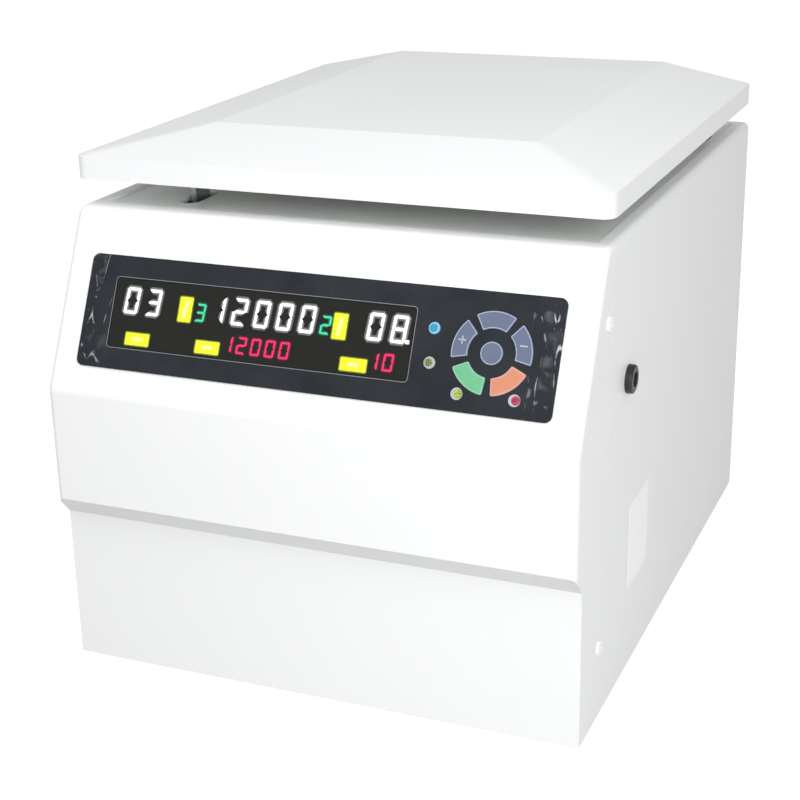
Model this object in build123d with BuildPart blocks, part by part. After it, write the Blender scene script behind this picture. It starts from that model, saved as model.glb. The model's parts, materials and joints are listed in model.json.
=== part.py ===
from build123d import *
import math
import os

os.makedirs("parts", exist_ok=True)

# Housing: folded steel covers on a base plate. X runs to the right, Y to the back, Z up.
body_width = 380.0
body_depth = 490.0
case_height = 325.5
foot_height = 8.0
sheet = 2.0
plinth_recess = 13.0
plinth_height = 113.0
brow_height = 128.0
bend_height = 209.5
slope_run = 57.5
front_rim = 10.0
front_strip = 6.0
side_rim = 11.5
rear_rim = 14.0
edge_radius = 5.0
break_edge = 1.0
bend_radius = 9.0
fit_gap = 0.3
running_gap = 0.05
seam_gap = 0.6
pick_range = 0.1

# Base, feet and the screws that hold the covers together
base_thickness = 2.5
base_upstand = 18.0
foot_radius = 15.0
foot_waist = 12.0
foot_inset_x = 48.0
foot_inset_y = 52.0
seam_lap = 20.0
seam_weld = 12.0
seam_lap_drop = 30.0
low_screw_inset = 13.2
low_screw_height = 52.8
high_screw_inset = 6.4
high_screw_height = 277.0
screw_head_radius = 5.3
screw_head_height = 1.8
screw_radius = 2.5
screw_length = 9.0
screw_socket_radius = 1.8
screw_socket_depth = 1.2

# Deck under the lid
deck_thickness = 3.0
chamber_back = 285.0
bowl_radius = 134.0
bowl_wall = 1.2
bowl_depth = 164.0
bowl_corner = 20.0
bowl_lip = 8.0
bowl_hole_radius = 36.0
seal_width = 9.0
seal_height = 7.5
seal_edge = 2.2
guard_gap = 2.5
guard_wall = 12.0
guard_height = 150.0
strut_slot_width = 14.0
strut_slot_length = 30.0

# Motor on its rubber mounts
mount_radius = 14.0
mount_height = 27.0
mount_spread = 62.0
mount_edge = 2.3
motor_plate_radius = 105.0
motor_plate_thickness = 8.0
motor_radius = 60.0
motor_rib_count = 18
motor_rib_depth = 4.0
motor_rib_width = 4.0
shaft_radius = 8.0
shaft_depth = 30.0
boot_wall = 8.0
boot_fold = 3.0

# Swing-out rotor with four buckets
trunnion_drop = 62.0
trunnion_reach = 54.0
hub_radius = 20.0
hub_height = 38.0
arm_width = 14.0
arm_height = 18.0
arm_end_radius = 8.0
pin_radius = 4.0
shaft_engagement = 24.0
nut_radius = 13.0
nut_height = 13.0
nut_flute_radius = 1.6
nut_flute_count = 8
nut_stud_radius = 5.0
nut_stud_length = 10.0
bucket_radius = 24.0
bucket_wall = 2.0
bucket_floor = 3.0
bucket_corner = 4.0
bucket_below = 74.0
bucket_above = 13.0
bucket_count = 4
lug_radius = 8.0
lug_reach = 5.0
lug_bore_depth = 4.0

# Lid
lid_gap = 18.4
lid_overhang = 1.7
lid_setback = 59.5
lid_rear_gap = 11.0
lid_sheet = 2.0
skirt_height = 15.8
crown_rise = 14.0
crown_inset_side = 72.2
crown_inset_front = 73.0
lid_corner = 9.0
crown_corner = 4.0
liner_sheet = 1.5
liner_recess = 0.6
dish_margin = 3.0
seal_clearance = 0.2

# Hinges at the rear of the deck
hinge_rise = 14.5
hinge_inset = 20.0
hinge_side_inset = 85.0
knuckle_radius = 5.0
knuckle_width = 22.0
leaf_width = 64.0
leaf_thickness = 3.0
leaf_reach = 34.0
hinge_foot_reach = 26.0
hinge_pin_radius = 2.5
hinge_pin_head = 4.0
hinge_side_gap = 0.5
lid_opening = 75.0

# Gas struts
strut_side_inset = 23.0
strut_arm = 45.0
strut_drop = 6.0
strut_base_back = 342.0
strut_base_drop = 118.5
cylinder_length = 112.0
cylinder_radius = 7.5
cylinder_edge = 1.9
foot_eye_radius = 8.5
foot_eye_width = 10.0
rod_radius = 3.5
rod_overlap = 60.0
anchor_radius = 12.0
anchor_thickness = 3.0
anchor_corner = 4.0
eye_radius = 6.0
eye_width = 6.0
strut_pin_radius = 3.0
bracket_thickness = 3.0
bracket_gap = 0.6
bracket_margin = 4.5
bracket_foot = 16.0
rod_pin_radius = 2.5
bracket_slot_slack = 1.9

# Lid lock, its striker and the release spindle
striker_side_inset = 64.5
striker_thickness = 4.0
striker_front = 106.0
striker_length = 20.0
striker_foot = 14.0
toe_reach = 7.0
toe_height = 8.0
striker_depth = 33.0
stop_pin_radius = 3.0
stop_pin_reach = 7.0
stop_pin_height = 9.0
latch_slot_front = 94.0
latch_slot_length = 40.0
latch_slot_width = 15.0
release_ring_gap = 24.0
release_drop = 101.5
release_radius = 4.0
release_socket = 5.0
release_socket_depth = 7.0
bushing_flange_radius = 9.8
bushing_barrel_radius = 6.5
bushing_proud = 5.0
bushing_edge = 1.7
bushing_barrel = 9.0
bushing_mouth_radius = 5.2
bushing_mouth_depth = 3.0
lock_width = 50.0
lock_wall = 2.5
lock_front = 74.0
lock_below = 14.0
lock_back = 142.0
pawl_thickness = 6.0
pawl_hub_radius = 9.0
pawl_hub_width = 20.0
pawl_arm_width = 11.0
pawl_arm_top = 8.8
nose_gap = 3.6
nose_height = 6.0
nose_length = 12.0
nose_lift = 0.2
plunger_radius = 3.5
plunger_rise = 40.0
plunger_length = 34.0
plunger_edge = 0.9
solenoid_size = 24.0
solenoid_length = 30.0
solenoid_end = 3.0
solenoid_corner = 2.0

# Control panel on the slope
panel_side_gap = 20.3
panel_height = 78.0
panel_rise = 58.4
panel_corner = 5.0
panel_thickness = 1.2
panel_hole_end = 13.7
panel_hole_edge = 7.0
window_end = 21.7
window_key_gap = 13.5
window_height = 48.0
window_corner = 2.5
ring_end = 44.3
ring_outer = 27.0
ring_inner = 15.5
ring_key_span = 60.0
ring_corner = 1.2
enter_radius = 7.6
side_key_gap = 39.9
side_key_radius = 4.1
side_key_rise = 12.0
side_key_drop = 10.2
lamp_radius = 3.5
lamp_edge = 0.9
lamp_drop = 27.6
lamp_spread = 19.0
key_gap = 0.35
key_proud = 0.6
key_depth = 4.0
key_flange = 0.7
key_flange_height = 1.4
key_edge = 0.3
key_travel = 0.8
key_switch_radius = 3.0
board_thickness = 1.6
board_drop = 6.5
board_end = 3.7
board_edge = 6.0
standoff_radius = 3.0
display_block_drop = 1.0

# Electronics on the base
control_width = 150.0
control_length = 84.0
control_side_gap = 18.0
control_back = 75.0
control_rise = 8.0
chip_width = 21.0
chip_length = 14.0
chip_height = 4.0
chip_pitch = 37.0
chip_row_pitch = 28.0
chip_columns = 4
capacitor_radius = 5.0
capacitor_height = 16.0
capacitor_pitch = 30.0
drive_width = 104.0
drive_length = 72.0
drive_height = 58.0
drive_side_gap = 54.0
drive_back = 72.0
drive_fins = 9
drive_fin_height = 24.0
drive_fin_width = 2.5

# Rear panel with fan, inlet and switch
rear_margin = 32.0
rear_lap = 9.0
rear_sheet = 2.0
fan_side_inset = 98.0
fan_height = 92.0
fan_size = 80.0
fan_depth = 25.0
fan_bore = 37.5
fan_corner = 4.0
fan_hub_radius = 16.0
fan_blades = 7
fan_blade_thickness = 1.6
fan_blade_tilt = 35.0
fan_blade_margin = 1.0
fan_blade_root = 1.0
fan_tip_gap = 1.5
fan_boss_height = 4.0
fan_pin_radius = 2.0
fan_hub_gap = 0.5
spoke_width = 5.0
spoke_count = 3
guard_wire = 2.0
guard_ring_radius = 12.0
guard_ring_pitch = 9.0
guard_ring_count = 4
guard_tie_count = 4
guard_tab = 48.0
inlet_side_inset = 72.0
inlet_height = 62.0
inlet_width = 48.0
inlet_tall = 30.0
inlet_plate = 2.5
inlet_body_width = 30.0
inlet_body_tall = 22.0
inlet_body_depth = 24.0
inlet_socket_width = 24.0
inlet_socket_tall = 16.0
inlet_socket_depth = 17.0
blade_length = 9.0
blade_width = 2.0
blade_height = 4.0
blade_spread = 7.0
blade_rise = 3.0
switch_height = 104.0
switch_width = 30.0
switch_tall = 22.0
switch_body_width = 26.0
switch_body_tall = 18.0
switch_depth = 20.0
switch_plate = 2.0
switch_wall = 2.0
rocker_tilt = 8.0
rocker_gap = 0.5
rocker_crown = 2.6
rocker_reach = 7.0
rocker_sink = 4.0
rocker_pin_radius = 1.5
rocker_pin_reach = 1.2
vent_width = 5.0
vent_length = 46.0
vent_pitch = 13.0
vent_rows = 7
vent_columns = 3
vent_side_inset = 95.0
vent_drop = 89.5
floor_vent_pitch = 14.0
floor_vent_count = 9

# Places worked out from the sizes above
half_width = body_width / 2
front_y = -body_depth / 2
back_y = body_depth / 2
bottom_z = foot_height
rim_z = bottom_z + case_height
seam_y = front_y + slope_run + front_rim
screw_spots = (
    (seam_y - low_screw_inset, bottom_z + low_screw_height),
    (seam_y - high_screw_inset, bottom_z + high_screw_height),
)
deck_top = rim_z - sheet
deck_bottom = deck_top - deck_thickness
chamber_y = front_y + chamber_back
inner_x = half_width - sheet
floor_z = bottom_z + base_thickness
bend_z = bottom_z + bend_height
slope_rise = rim_z - bend_z
slope_length = math.hypot(slope_run, slope_rise)
lid_bottom = rim_z + lid_gap
lid_skirt_top = lid_bottom + skirt_height
lid_top = lid_skirt_top + crown_rise
lid_front = front_y + lid_setback
lid_back = back_y - lid_rear_gap
liner_z = lid_bottom + liner_recess
hinge_y = back_y - hinge_inset
hinge_z = deck_top + hinge_rise
seal_top = deck_top + bowl_wall + seal_height
dish_bottom = seal_top + seal_clearance
dish_radius = bowl_radius + seal_width + dish_margin
guard_inner = bowl_radius + guard_gap
guard_outer = guard_inner + guard_wall
release_y = chamber_y - guard_outer - release_ring_gap
release_z = rim_z - release_drop
striker_x = striker_side_inset - half_width
strut_x = inner_x - strut_side_inset
strut_base_y = front_y + strut_base_back
strut_base_z = rim_z - strut_base_drop

panel_up = Vector(0, slope_run / slope_length, slope_rise / slope_length)
panel_out = Vector(0, -slope_rise / slope_length, slope_run / slope_length)
panel_centre = Vector(0, front_y, bend_z) + panel_up * panel_rise
panel_plane = Plane(origin=panel_centre, x_dir=(1, 0, 0), z_dir=panel_out)
panel_half = half_width - panel_side_gap
panel_width = 2 * panel_half
ring_x = panel_half - ring_end
side_key_x = ring_x - side_key_gap
window_left = window_end - panel_half
window_right = side_key_x - window_key_gap
window_width = window_right - window_left
window_x = (window_left + window_right) / 2


def save(piece, name):
    """Label a finished piece and write it under its own name."""
    piece.part.label = name
    export_step(piece.part, f"parts/{name}.step")


def edge_near(piece, y, z):
    """Edges along X that pass through a point of the side view."""
    def close(edge):
        middle = edge.center()
        return abs(middle.Y - y) < pick_range and abs(middle.Z - z) < pick_range
    return piece.edges().filter_by(Axis.X).filter_by(close)


# Front cover: plinth, brow, upright front, slope and top rim folded from one sheet
slope_top_y = front_y + slope_run
front_end_y = seam_y - seam_gap
with BuildPart() as front_cover:
    with BuildSketch(Plane.YZ):
        with BuildLine():
            Polyline(
                (front_y + plinth_recess, bottom_z),
                (front_y + plinth_recess, bottom_z + plinth_height),
                (front_y, bottom_z + brow_height),
                (front_y, bend_z),
                (slope_top_y, rim_z),
                (front_end_y, rim_z),
                (front_end_y, bottom_z),
                close=True,
            )
        make_face()
    extrude(amount=half_width, both=True)
    fillet(edge_near(front_cover, front_y, bend_z), bend_radius)
    fillet(edge_near(front_cover, slope_top_y, rim_z), bend_radius)
    cheeks = front_cover.faces().filter_by(Axis.X)
    outline = cheeks.edges().filter_by(lambda e: e.center().Z > bottom_z + brow_height)
    outline = outline.filter_by(lambda e: e.center().Y < front_end_y - pick_range)
    fillet(outline, edge_radius)
    open_faces = [front_cover.faces().sort_by(Axis.Y)[-1], front_cover.faces().sort_by(Axis.Z)[0]]
    offset(amount=-sheet, openings=open_faces)
    with BuildSketch(panel_plane):
        RectangleRounded(
            panel_width - 2 * panel_hole_end,
            panel_height - 2 * panel_hole_edge,
            panel_corner,
        )
    extrude(amount=-sheet * 3, mode=Mode.SUBTRACT)
    with BuildSketch(Plane.YZ.offset(-half_width - sheet)):
        with Locations(*screw_spots):
            Circle(screw_radius + running_gap)
    extrude(amount=body_width + 2 * sheet, mode=Mode.SUBTRACT)
save(front_cover, "front_cover")

# Main cover: both sides, the rear and the raised rim, with joggled laps behind the front cover
mouth_front = seam_y + front_strip
mouth_back = back_y - rear_rim
rear_low = bottom_z + rear_margin
rear_high = rim_z - rear_margin
with BuildPart() as main_cover:
    with BuildSketch(Plane.XY.offset(bottom_z)):
        with Locations((0, (seam_y + back_y) / 2)):
            Rectangle(body_width, back_y - seam_y)
    extrude(amount=case_height)
    top_edges = main_cover.faces().sort_by(Axis.Z)[-1].edges()
    rear_edges = main_cover.faces().sort_by(Axis.Y)[-1].edges().filter_by(Axis.Z)
    soft_edges = top_edges.filter_by(lambda e: e.center().Y > seam_y + pick_range) + rear_edges
    fillet(soft_edges, edge_radius)
    open_faces = [main_cover.faces().sort_by(Axis.Y)[0], main_cover.faces().sort_by(Axis.Z)[0]]
    offset(amount=-sheet, openings=open_faces)
    with BuildSketch(Plane.XY.offset(rim_z - 2 * sheet)):
        with Locations((0, (mouth_front + mouth_back) / 2)):
            Rectangle(body_width - 2 * side_rim, mouth_back - mouth_front)
    extrude(amount=3 * sheet, mode=Mode.SUBTRACT)
    with BuildSketch(Plane.XZ.offset(-back_y - sheet)):
        with Locations((0, (rear_low + rear_high) / 2)):
            RectangleRounded(body_width - 2 * rear_margin, rear_high - rear_low, edge_radius)
    extrude(amount=3 * sheet, mode=Mode.SUBTRACT)
    for side in (-1, 1):
        with BuildSketch(Plane.XY.offset(floor_z + base_upstand)):
            with Locations((side * (inner_x - sheet / 2), seam_y + (seam_weld - seam_lap) / 2)):
                Rectangle(sheet, seam_lap + seam_weld)
        extrude(amount=deck_bottom - floor_z - base_upstand - seam_lap_drop)
    with BuildSketch(Plane.YZ.offset(-half_width - sheet)):
        with Locations(*screw_spots):
            Circle(screw_radius + running_gap)
    extrude(amount=body_width + 2 * sheet, mode=Mode.SUBTRACT)
    with BuildSketch(Plane.YZ.offset(half_width - 2 * sheet)):
        with Locations((release_y, release_z)):
            Circle(bushing_barrel_radius + running_gap)
    extrude(amount=3 * sheet, mode=Mode.SUBTRACT)
save(main_cover, "main_cover")

# Screws through the cheeks of the front cover into the laps
with BuildPart() as cover_screws:
    for side in (-1, 1):
        for y, z in screw_spots:
            outward = Plane(origin=(side * half_width, y, z), z_dir=(side, 0, 0))
            with BuildSketch(outward):
                Circle(screw_head_radius)
            extrude(amount=screw_head_height)
            rims = cover_screws.edges(Select.LAST).filter_by(GeomType.CIRCLE).sort_by(Axis.X)
            fillet(rims[-1] if side > 0 else rims[0], screw_head_height / 2)
            with BuildSketch(outward):
                Circle(screw_radius)
            extrude(amount=-screw_length)
            with BuildSketch(outward.offset(screw_head_height)):
                RegularPolygon(screw_socket_radius, 6)
            extrude(amount=-screw_socket_depth, mode=Mode.SUBTRACT)
save(cover_screws, "cover_screws")

# Base plate: a tray with low upstands, vent slots and holes for the feet
base_front = front_y + plinth_recess + sheet + fit_gap
base_back = back_y - sheet - fit_gap
base_half = inner_x - fit_gap
base_mid_y = (base_front + base_back) / 2
base_length = base_back - base_front
foot_spots = [
    (side * (half_width - foot_inset_x), y)
    for side in (-1, 1)
    for y in (front_y + foot_inset_y, back_y - foot_inset_y)
]
with BuildPart() as base_plate:
    with BuildSketch(Plane.XY.offset(bottom_z)):
        with Locations((0, base_mid_y)):
            RectangleRounded(2 * base_half, base_length, edge_radius)
    extrude(amount=base_thickness + base_upstand)
    with BuildSketch(Plane.XY.offset(floor_z)):
        with Locations((0, base_mid_y)):
            RectangleRounded(
                2 * (base_half - base_thickness),
                base_length - 2 * base_thickness,
                edge_radius - base_thickness,
            )
    extrude(amount=base_upstand, mode=Mode.SUBTRACT)
    with BuildSketch(Plane.XY.offset(bottom_z)):
        with Locations(*foot_spots):
            Circle(screw_radius + running_gap)
        with Locations((0, chamber_y)):
            with GridLocations(0, floor_vent_pitch, 1, floor_vent_count):
                SlotOverall(vent_length, vent_width)
    extrude(amount=base_thickness, mode=Mode.SUBTRACT)
save(base_plate, "base_plate")

# Rubber feet with a stem up through the base plate
with BuildPart() as feet:
    for x, y in foot_spots:
        with BuildSketch(Plane.XY):
            with Locations((x, y)):
                Circle(foot_waist)
        with BuildSketch(Plane.XY.offset(foot_height)):
            with Locations((x, y)):
                Circle(foot_radius)
        loft()
        with BuildSketch(Plane.XY.offset(foot_height)):
            with Locations((x, y)):
                Circle(screw_radius)
        extrude(amount=base_thickness + screw_head_height)
save(feet, "feet")

# Deck: the sunken plate under the lid, with the chamber mouth and the slots for lock and struts
latch_slot_y = front_y + latch_slot_front + latch_slot_length / 2
pivot_angle = math.radians(180.0) + math.atan2(strut_drop, strut_arm)
pivot_radius = math.hypot(strut_arm, strut_drop)
opening = math.radians(lid_opening)


def lid_pivot(turn):
    """Upper strut pivot, in Y and Z, with the lid turned open by this angle."""
    angle = pivot_angle - turn
    return (hinge_y + pivot_radius * math.cos(angle), hinge_z + pivot_radius * math.sin(angle))


pivot_shut = lid_pivot(0.0)
strut_slope = (pivot_shut[0] - strut_base_y) / (pivot_shut[1] - strut_base_z)
strut_slot_y = strut_base_y + strut_slope * (deck_top - strut_base_z)
strut_closed_length = math.hypot(pivot_shut[0] - strut_base_y, pivot_shut[1] - strut_base_z)

with BuildPart() as deck_plate:
    with BuildSketch(Plane.XY.offset(deck_bottom)):
        deck_front = seam_y - front_rim + bend_radius
        deck_back = back_y - edge_radius - fit_gap
        with Locations((0, (deck_front + deck_back) / 2)):
            Rectangle(2 * (half_width - edge_radius - fit_gap), deck_back - deck_front)
        with Locations((0, chamber_y)):
            Circle(bowl_radius + fit_gap, mode=Mode.SUBTRACT)
        with Locations((striker_x, latch_slot_y)):
            SlotOverall(latch_slot_length, latch_slot_width, rotation=90, mode=Mode.SUBTRACT)
        for side in (-1, 1):
            with Locations((side * strut_x, strut_slot_y)):
                SlotOverall(strut_slot_length, strut_slot_width, rotation=90, mode=Mode.SUBTRACT)
    extrude(amount=deck_thickness)
save(deck_plate, "deck_plate")

# Chamber: a spun steel bowl whose lip lies on the deck, its rubber seal and the guard ring around it
bowl_bottom = deck_top - bowl_depth
spin_axis = Axis((0, chamber_y, 0), (0, 0, 1))
chamber_plane = Plane.XZ.offset(-chamber_y)
with BuildPart() as chamber_bowl:
    with BuildSketch(chamber_plane) as wall_section:
        with BuildLine():
            Polyline(
                (bowl_hole_radius, bowl_bottom),
                (bowl_radius, bowl_bottom),
                (bowl_radius, deck_top),
                (bowl_radius + bowl_lip, deck_top),
                (bowl_radius + bowl_lip, deck_top + bowl_wall),
                (bowl_radius - bowl_wall, deck_top + bowl_wall),
                (bowl_radius - bowl_wall, bowl_bottom + bowl_wall),
                (bowl_hole_radius, bowl_bottom + bowl_wall),
                close=True,
            )
        make_face()
        corners = wall_section.vertices()
        fillet(corners.sort_by_distance((bowl_radius, bowl_bottom))[0], bowl_corner)
        inner_corner = (bowl_radius - bowl_wall, bowl_bottom + bowl_wall)
        corners = wall_section.vertices()
        fillet(corners.sort_by_distance(inner_corner)[0], bowl_corner - bowl_wall)
    revolve(axis=spin_axis)
save(chamber_bowl, "chamber_bowl")

seal_foot = deck_top + bowl_wall
with BuildPart() as chamber_seal:
    with BuildSketch(chamber_plane) as seal_section:
        with Locations((bowl_radius + seal_width / 2, seal_foot + seal_height / 2)):
            Rectangle(seal_width, seal_height)
        upper = seal_section.vertices().group_by(Axis.Y)[-1]
        fillet(upper, seal_edge)
    revolve(axis=spin_axis)
save(chamber_seal, "chamber_seal")

with BuildPart() as guard_ring:
    with BuildSketch(Plane.XY.offset(deck_bottom - guard_height)):
        with Locations((0, chamber_y)):
            Circle(guard_outer)
            Circle(guard_inner, mode=Mode.SUBTRACT)
    extrude(amount=guard_height)
save(guard_ring, "guard_ring")

# Motor on a round plate over four rubber mounts, with the boot that seals it to the bowl
mount_top = floor_z + mount_height
plate_top = mount_top + motor_plate_thickness
motor_top = bowl_bottom - 2 * boot_wall
mount_spots = [
    (sx * mount_spread, chamber_y + sy * mount_spread)
    for sx in (-1, 1)
    for sy in (-1, 1)
]
with BuildPart() as motor_mounts:
    with BuildSketch(Plane.XY.offset(floor_z)):
        with Locations(*mount_spots):
            Circle(mount_radius)
    extrude(amount=mount_height)
    waists = motor_mounts.edges().filter_by(GeomType.CIRCLE)
    fillet(waists, mount_edge)
save(motor_mounts, "motor_mounts")

with BuildPart() as motor_plate:
    with BuildSketch(Plane.XY.offset(mount_top)):
        with Locations((0, chamber_y)):
            Circle(motor_plate_radius)
            Circle(motor_radius / 2, mode=Mode.SUBTRACT)
    extrude(amount=motor_plate_thickness)
    chamfer(motor_plate.edges().group_by(Axis.Z)[-1].sort_by(SortBy.LENGTH)[-1], break_edge)
save(motor_plate, "motor_plate")

shaft_foot = motor_top - shaft_depth
with BuildPart() as motor_body:
    with BuildSketch(Plane.XY.offset(plate_top)):
        with Locations((0, chamber_y)):
            Circle(motor_radius)
            with PolarLocations(motor_radius, motor_rib_count):
                Rectangle(motor_rib_depth, motor_rib_width, mode=Mode.SUBTRACT)
    extrude(amount=motor_top - plate_top)
    with BuildSketch(Plane.XY.offset(shaft_foot)):
        with Locations((0, chamber_y)):
            Circle(shaft_radius + running_gap)
    extrude(amount=shaft_depth, mode=Mode.SUBTRACT)
save(motor_body, "motor_body")

with BuildPart() as motor_boot:
    with BuildSketch(chamber_plane):
        with BuildLine():
            Polyline(
                (bowl_hole_radius, motor_top),
                (bowl_hole_radius + boot_wall, motor_top),
                (bowl_hole_radius + boot_wall - boot_fold, (motor_top + bowl_bottom) / 2),
                (bowl_hole_radius + boot_wall, bowl_bottom),
                (bowl_hole_radius, bowl_bottom),
                (bowl_hole_radius - boot_fold, (motor_top + bowl_bottom) / 2),
                close=True,
            )
        make_face()
    revolve(axis=spin_axis)
save(motor_boot, "motor_boot")

# Rotor head: hub, four arms between the buckets and the trunnion pins
trunnion_z = deck_top - trunnion_drop
hub_foot = trunnion_z - arm_height
hub_top = hub_foot + hub_height
shaft_top = hub_foot + shaft_engagement
with BuildPart() as motor_shaft:
    with BuildSketch(Plane.XY.offset(shaft_foot + fit_gap)):
        with Locations((0, chamber_y)):
            Circle(shaft_radius)
    extrude(amount=shaft_top - shaft_foot - fit_gap)
    chamfer(motor_shaft.edges().sort_by(Axis.Z)[-1], break_edge)
save(motor_shaft, "motor_shaft")

arm_turn = 180.0 / bucket_count
bucket_turns = [360.0 / bucket_count * i for i in range(bucket_count)]
arm_length = trunnion_reach / math.cos(math.radians(arm_turn))
with BuildPart() as rotor_head:
    with BuildSketch(Plane.XY.offset(hub_foot)):
        with Locations((0, chamber_y)):
            Circle(hub_radius)
    extrude(amount=hub_height)
    with BuildSketch(Plane.XY.offset(trunnion_z - arm_height / 2)):
        for turn in bucket_turns:
            angle = math.radians(turn + arm_turn)
            middle = (arm_length / 2 * math.cos(angle), chamber_y + arm_length / 2 * math.sin(angle))
            tip = (arm_length * math.cos(angle), chamber_y + arm_length * math.sin(angle))
            with Locations(middle):
                Rectangle(arm_length, arm_width, rotation=turn + arm_turn)
            with Locations(tip):
                Circle(arm_end_radius)
    extrude(amount=arm_height)
    for turn in bucket_turns:
        angle = math.radians(turn)
        radial = Vector(math.cos(angle), math.sin(angle), 0)
        along = Vector(-math.sin(angle), math.cos(angle), 0)
        centre = Vector(0, chamber_y, trunnion_z) + radial * trunnion_reach
        for side in (-1, 1):
            start = centre + along * (side * (bucket_radius + lug_reach - lug_bore_depth + fit_gap))
            with BuildSketch(Plane(origin=start, z_dir=along * side)):
                Circle(pin_radius)
            extrude(amount=trunnion_reach - bucket_radius - lug_reach + lug_bore_depth - fit_gap)
    rim = rotor_head.edges().filter_by(GeomType.CIRCLE).sort_by(Axis.Z)[-1]
    chamfer(rim, break_edge)
    with BuildSketch(Plane.XY.offset(hub_foot)):
        with Locations((0, chamber_y)):
            Circle(shaft_radius + running_gap / 2)
    extrude(amount=shaft_engagement + fit_gap, mode=Mode.SUBTRACT)
    with BuildSketch(Plane.XY.offset(hub_top)):
        with Locations((0, chamber_y)):
            Circle(nut_stud_radius + running_gap / 2)
    extrude(amount=-nut_stud_length - fit_gap, mode=Mode.SUBTRACT)
save(rotor_head, "rotor_head")

with BuildPart() as rotor_nut:
    with BuildSketch(Plane.XY.offset(hub_top)):
        with Locations((0, chamber_y)):
            Circle(nut_radius)
            with PolarLocations(nut_radius, nut_flute_count):
                Circle(nut_flute_radius, mode=Mode.SUBTRACT)
    extrude(amount=nut_height)
    chamfer(rotor_nut.faces().sort_by(Axis.Z)[-1].edges(), break_edge / 2)
    with BuildSketch(Plane.XY.offset(hub_top)):
        with Locations((0, chamber_y)):
            Circle(nut_stud_radius)
    extrude(amount=-nut_stud_length)
save(rotor_nut, "rotor_nut")

# Buckets that hang on the trunnion pins and swing outwards
for index, turn in enumerate(bucket_turns):
    angle = math.radians(turn)
    radial = Vector(math.cos(angle), math.sin(angle), 0)
    along = Vector(-math.sin(angle), math.cos(angle), 0)
    centre = Vector(0, chamber_y, trunnion_z) + radial * trunnion_reach
    with BuildPart() as bucket:
        with BuildSketch(Plane(origin=centre - Vector(0, 0, bucket_below))):
            Circle(bucket_radius)
        extrude(amount=bucket_below + bucket_above)
        fillet(bucket.edges().sort_by(Axis.Z)[0], bucket_corner)
        for side in (-1, 1):
            start = centre + along * (side * (bucket_radius - bucket_wall))
            with BuildSketch(Plane(origin=start, z_dir=along * side)):
                Circle(lug_radius)
            extrude(amount=bucket_wall + lug_reach)
        with BuildSketch(Plane(origin=centre - Vector(0, 0, bucket_below - bucket_floor))):
            Circle(bucket_radius - bucket_wall)
        extrude(amount=bucket_below + bucket_above, mode=Mode.SUBTRACT)
        for side in (-1, 1):
            start = centre + along * (side * (bucket_radius + lug_reach - lug_bore_depth))
            with BuildSketch(Plane(origin=start, z_dir=along * side)):
                Circle(pin_radius + running_gap)
            extrude(amount=lug_bore_depth, mode=Mode.SUBTRACT)
    save(bucket, f"bucket_{index + 1}")

# Lid: a hipped steel shell with a skirt
lid_width = body_width + 2 * lid_overhang
lid_length = lid_back - lid_front
lid_mid_y = (lid_front + lid_back) / 2
crown_width = lid_width - 2 * crown_inset_side
crown_length = lid_length - crown_inset_front
crown_mid_y = lid_back - crown_length / 2
with BuildPart() as lid_shell:
    with BuildSketch(Plane.XY.offset(lid_bottom)):
        with Locations((0, lid_mid_y)):
            RectangleRounded(lid_width, lid_length, lid_corner)
    extrude(amount=skirt_height)
    with BuildSketch(Plane.XY.offset(lid_skirt_top)):
        with Locations((0, lid_mid_y)):
            RectangleRounded(lid_width, lid_length, lid_corner)
    with BuildSketch(Plane.XY.offset(lid_top)):
        with Locations((0, crown_mid_y)):
            RectangleRounded(crown_width, crown_length, crown_corner)
    loft(ruled=True)
    hollow_top = lid_skirt_top - lid_sheet
    with BuildSketch(Plane.XY.offset(lid_bottom)):
        with Locations((0, lid_mid_y)):
            RectangleRounded(lid_width - 2 * lid_sheet, lid_length - 2 * lid_sheet, lid_corner - lid_sheet)
    extrude(amount=skirt_height - lid_sheet, mode=Mode.SUBTRACT)
    with BuildSketch(Plane.XY.offset(hollow_top)):
        with Locations((0, lid_mid_y)):
            RectangleRounded(lid_width - 2 * lid_sheet, lid_length - 2 * lid_sheet, lid_corner - lid_sheet)
    with BuildSketch(Plane.XY.offset(lid_top - lid_sheet)):
        with Locations((0, crown_mid_y - lid_sheet / 2)):
            RectangleRounded(crown_width, crown_length - lid_sheet, crown_corner)
    loft(ruled=True, mode=Mode.SUBTRACT)
save(lid_shell, "lid_shell")

# Liner: the pressed underside of the lid, with a round dish that shuts on the seal
with BuildPart() as lid_liner:
    with BuildSketch(Plane.XY.offset(liner_z)):
        with Locations((0, lid_mid_y)):
            RectangleRounded(lid_width - 2 * lid_sheet, lid_length - 2 * lid_sheet, lid_corner)
    extrude(amount=liner_sheet)
    with BuildSketch(Plane.XY.offset(dish_bottom)):
        with Locations((0, chamber_y)):
            Circle(dish_radius)
    extrude(amount=liner_z - dish_bottom)
    fillet(lid_liner.edges().sort_by(Axis.Z)[0], liner_sheet * 2)
    with BuildSketch(Plane.XY.offset(dish_bottom + liner_sheet)):
        with Locations((0, chamber_y)):
            Circle(dish_radius - liner_sheet)
    extrude(amount=liner_z - dish_bottom, mode=Mode.SUBTRACT)
    dish_edges = lid_liner.edges().filter_by(GeomType.CIRCLE)
    dish_floor = dish_bottom + liner_sheet
    fillet(dish_edges.filter_by(lambda e: abs(e.center().Z - dish_floor) < pick_range), liner_sheet)
save(lid_liner, "lid_liner")

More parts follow.
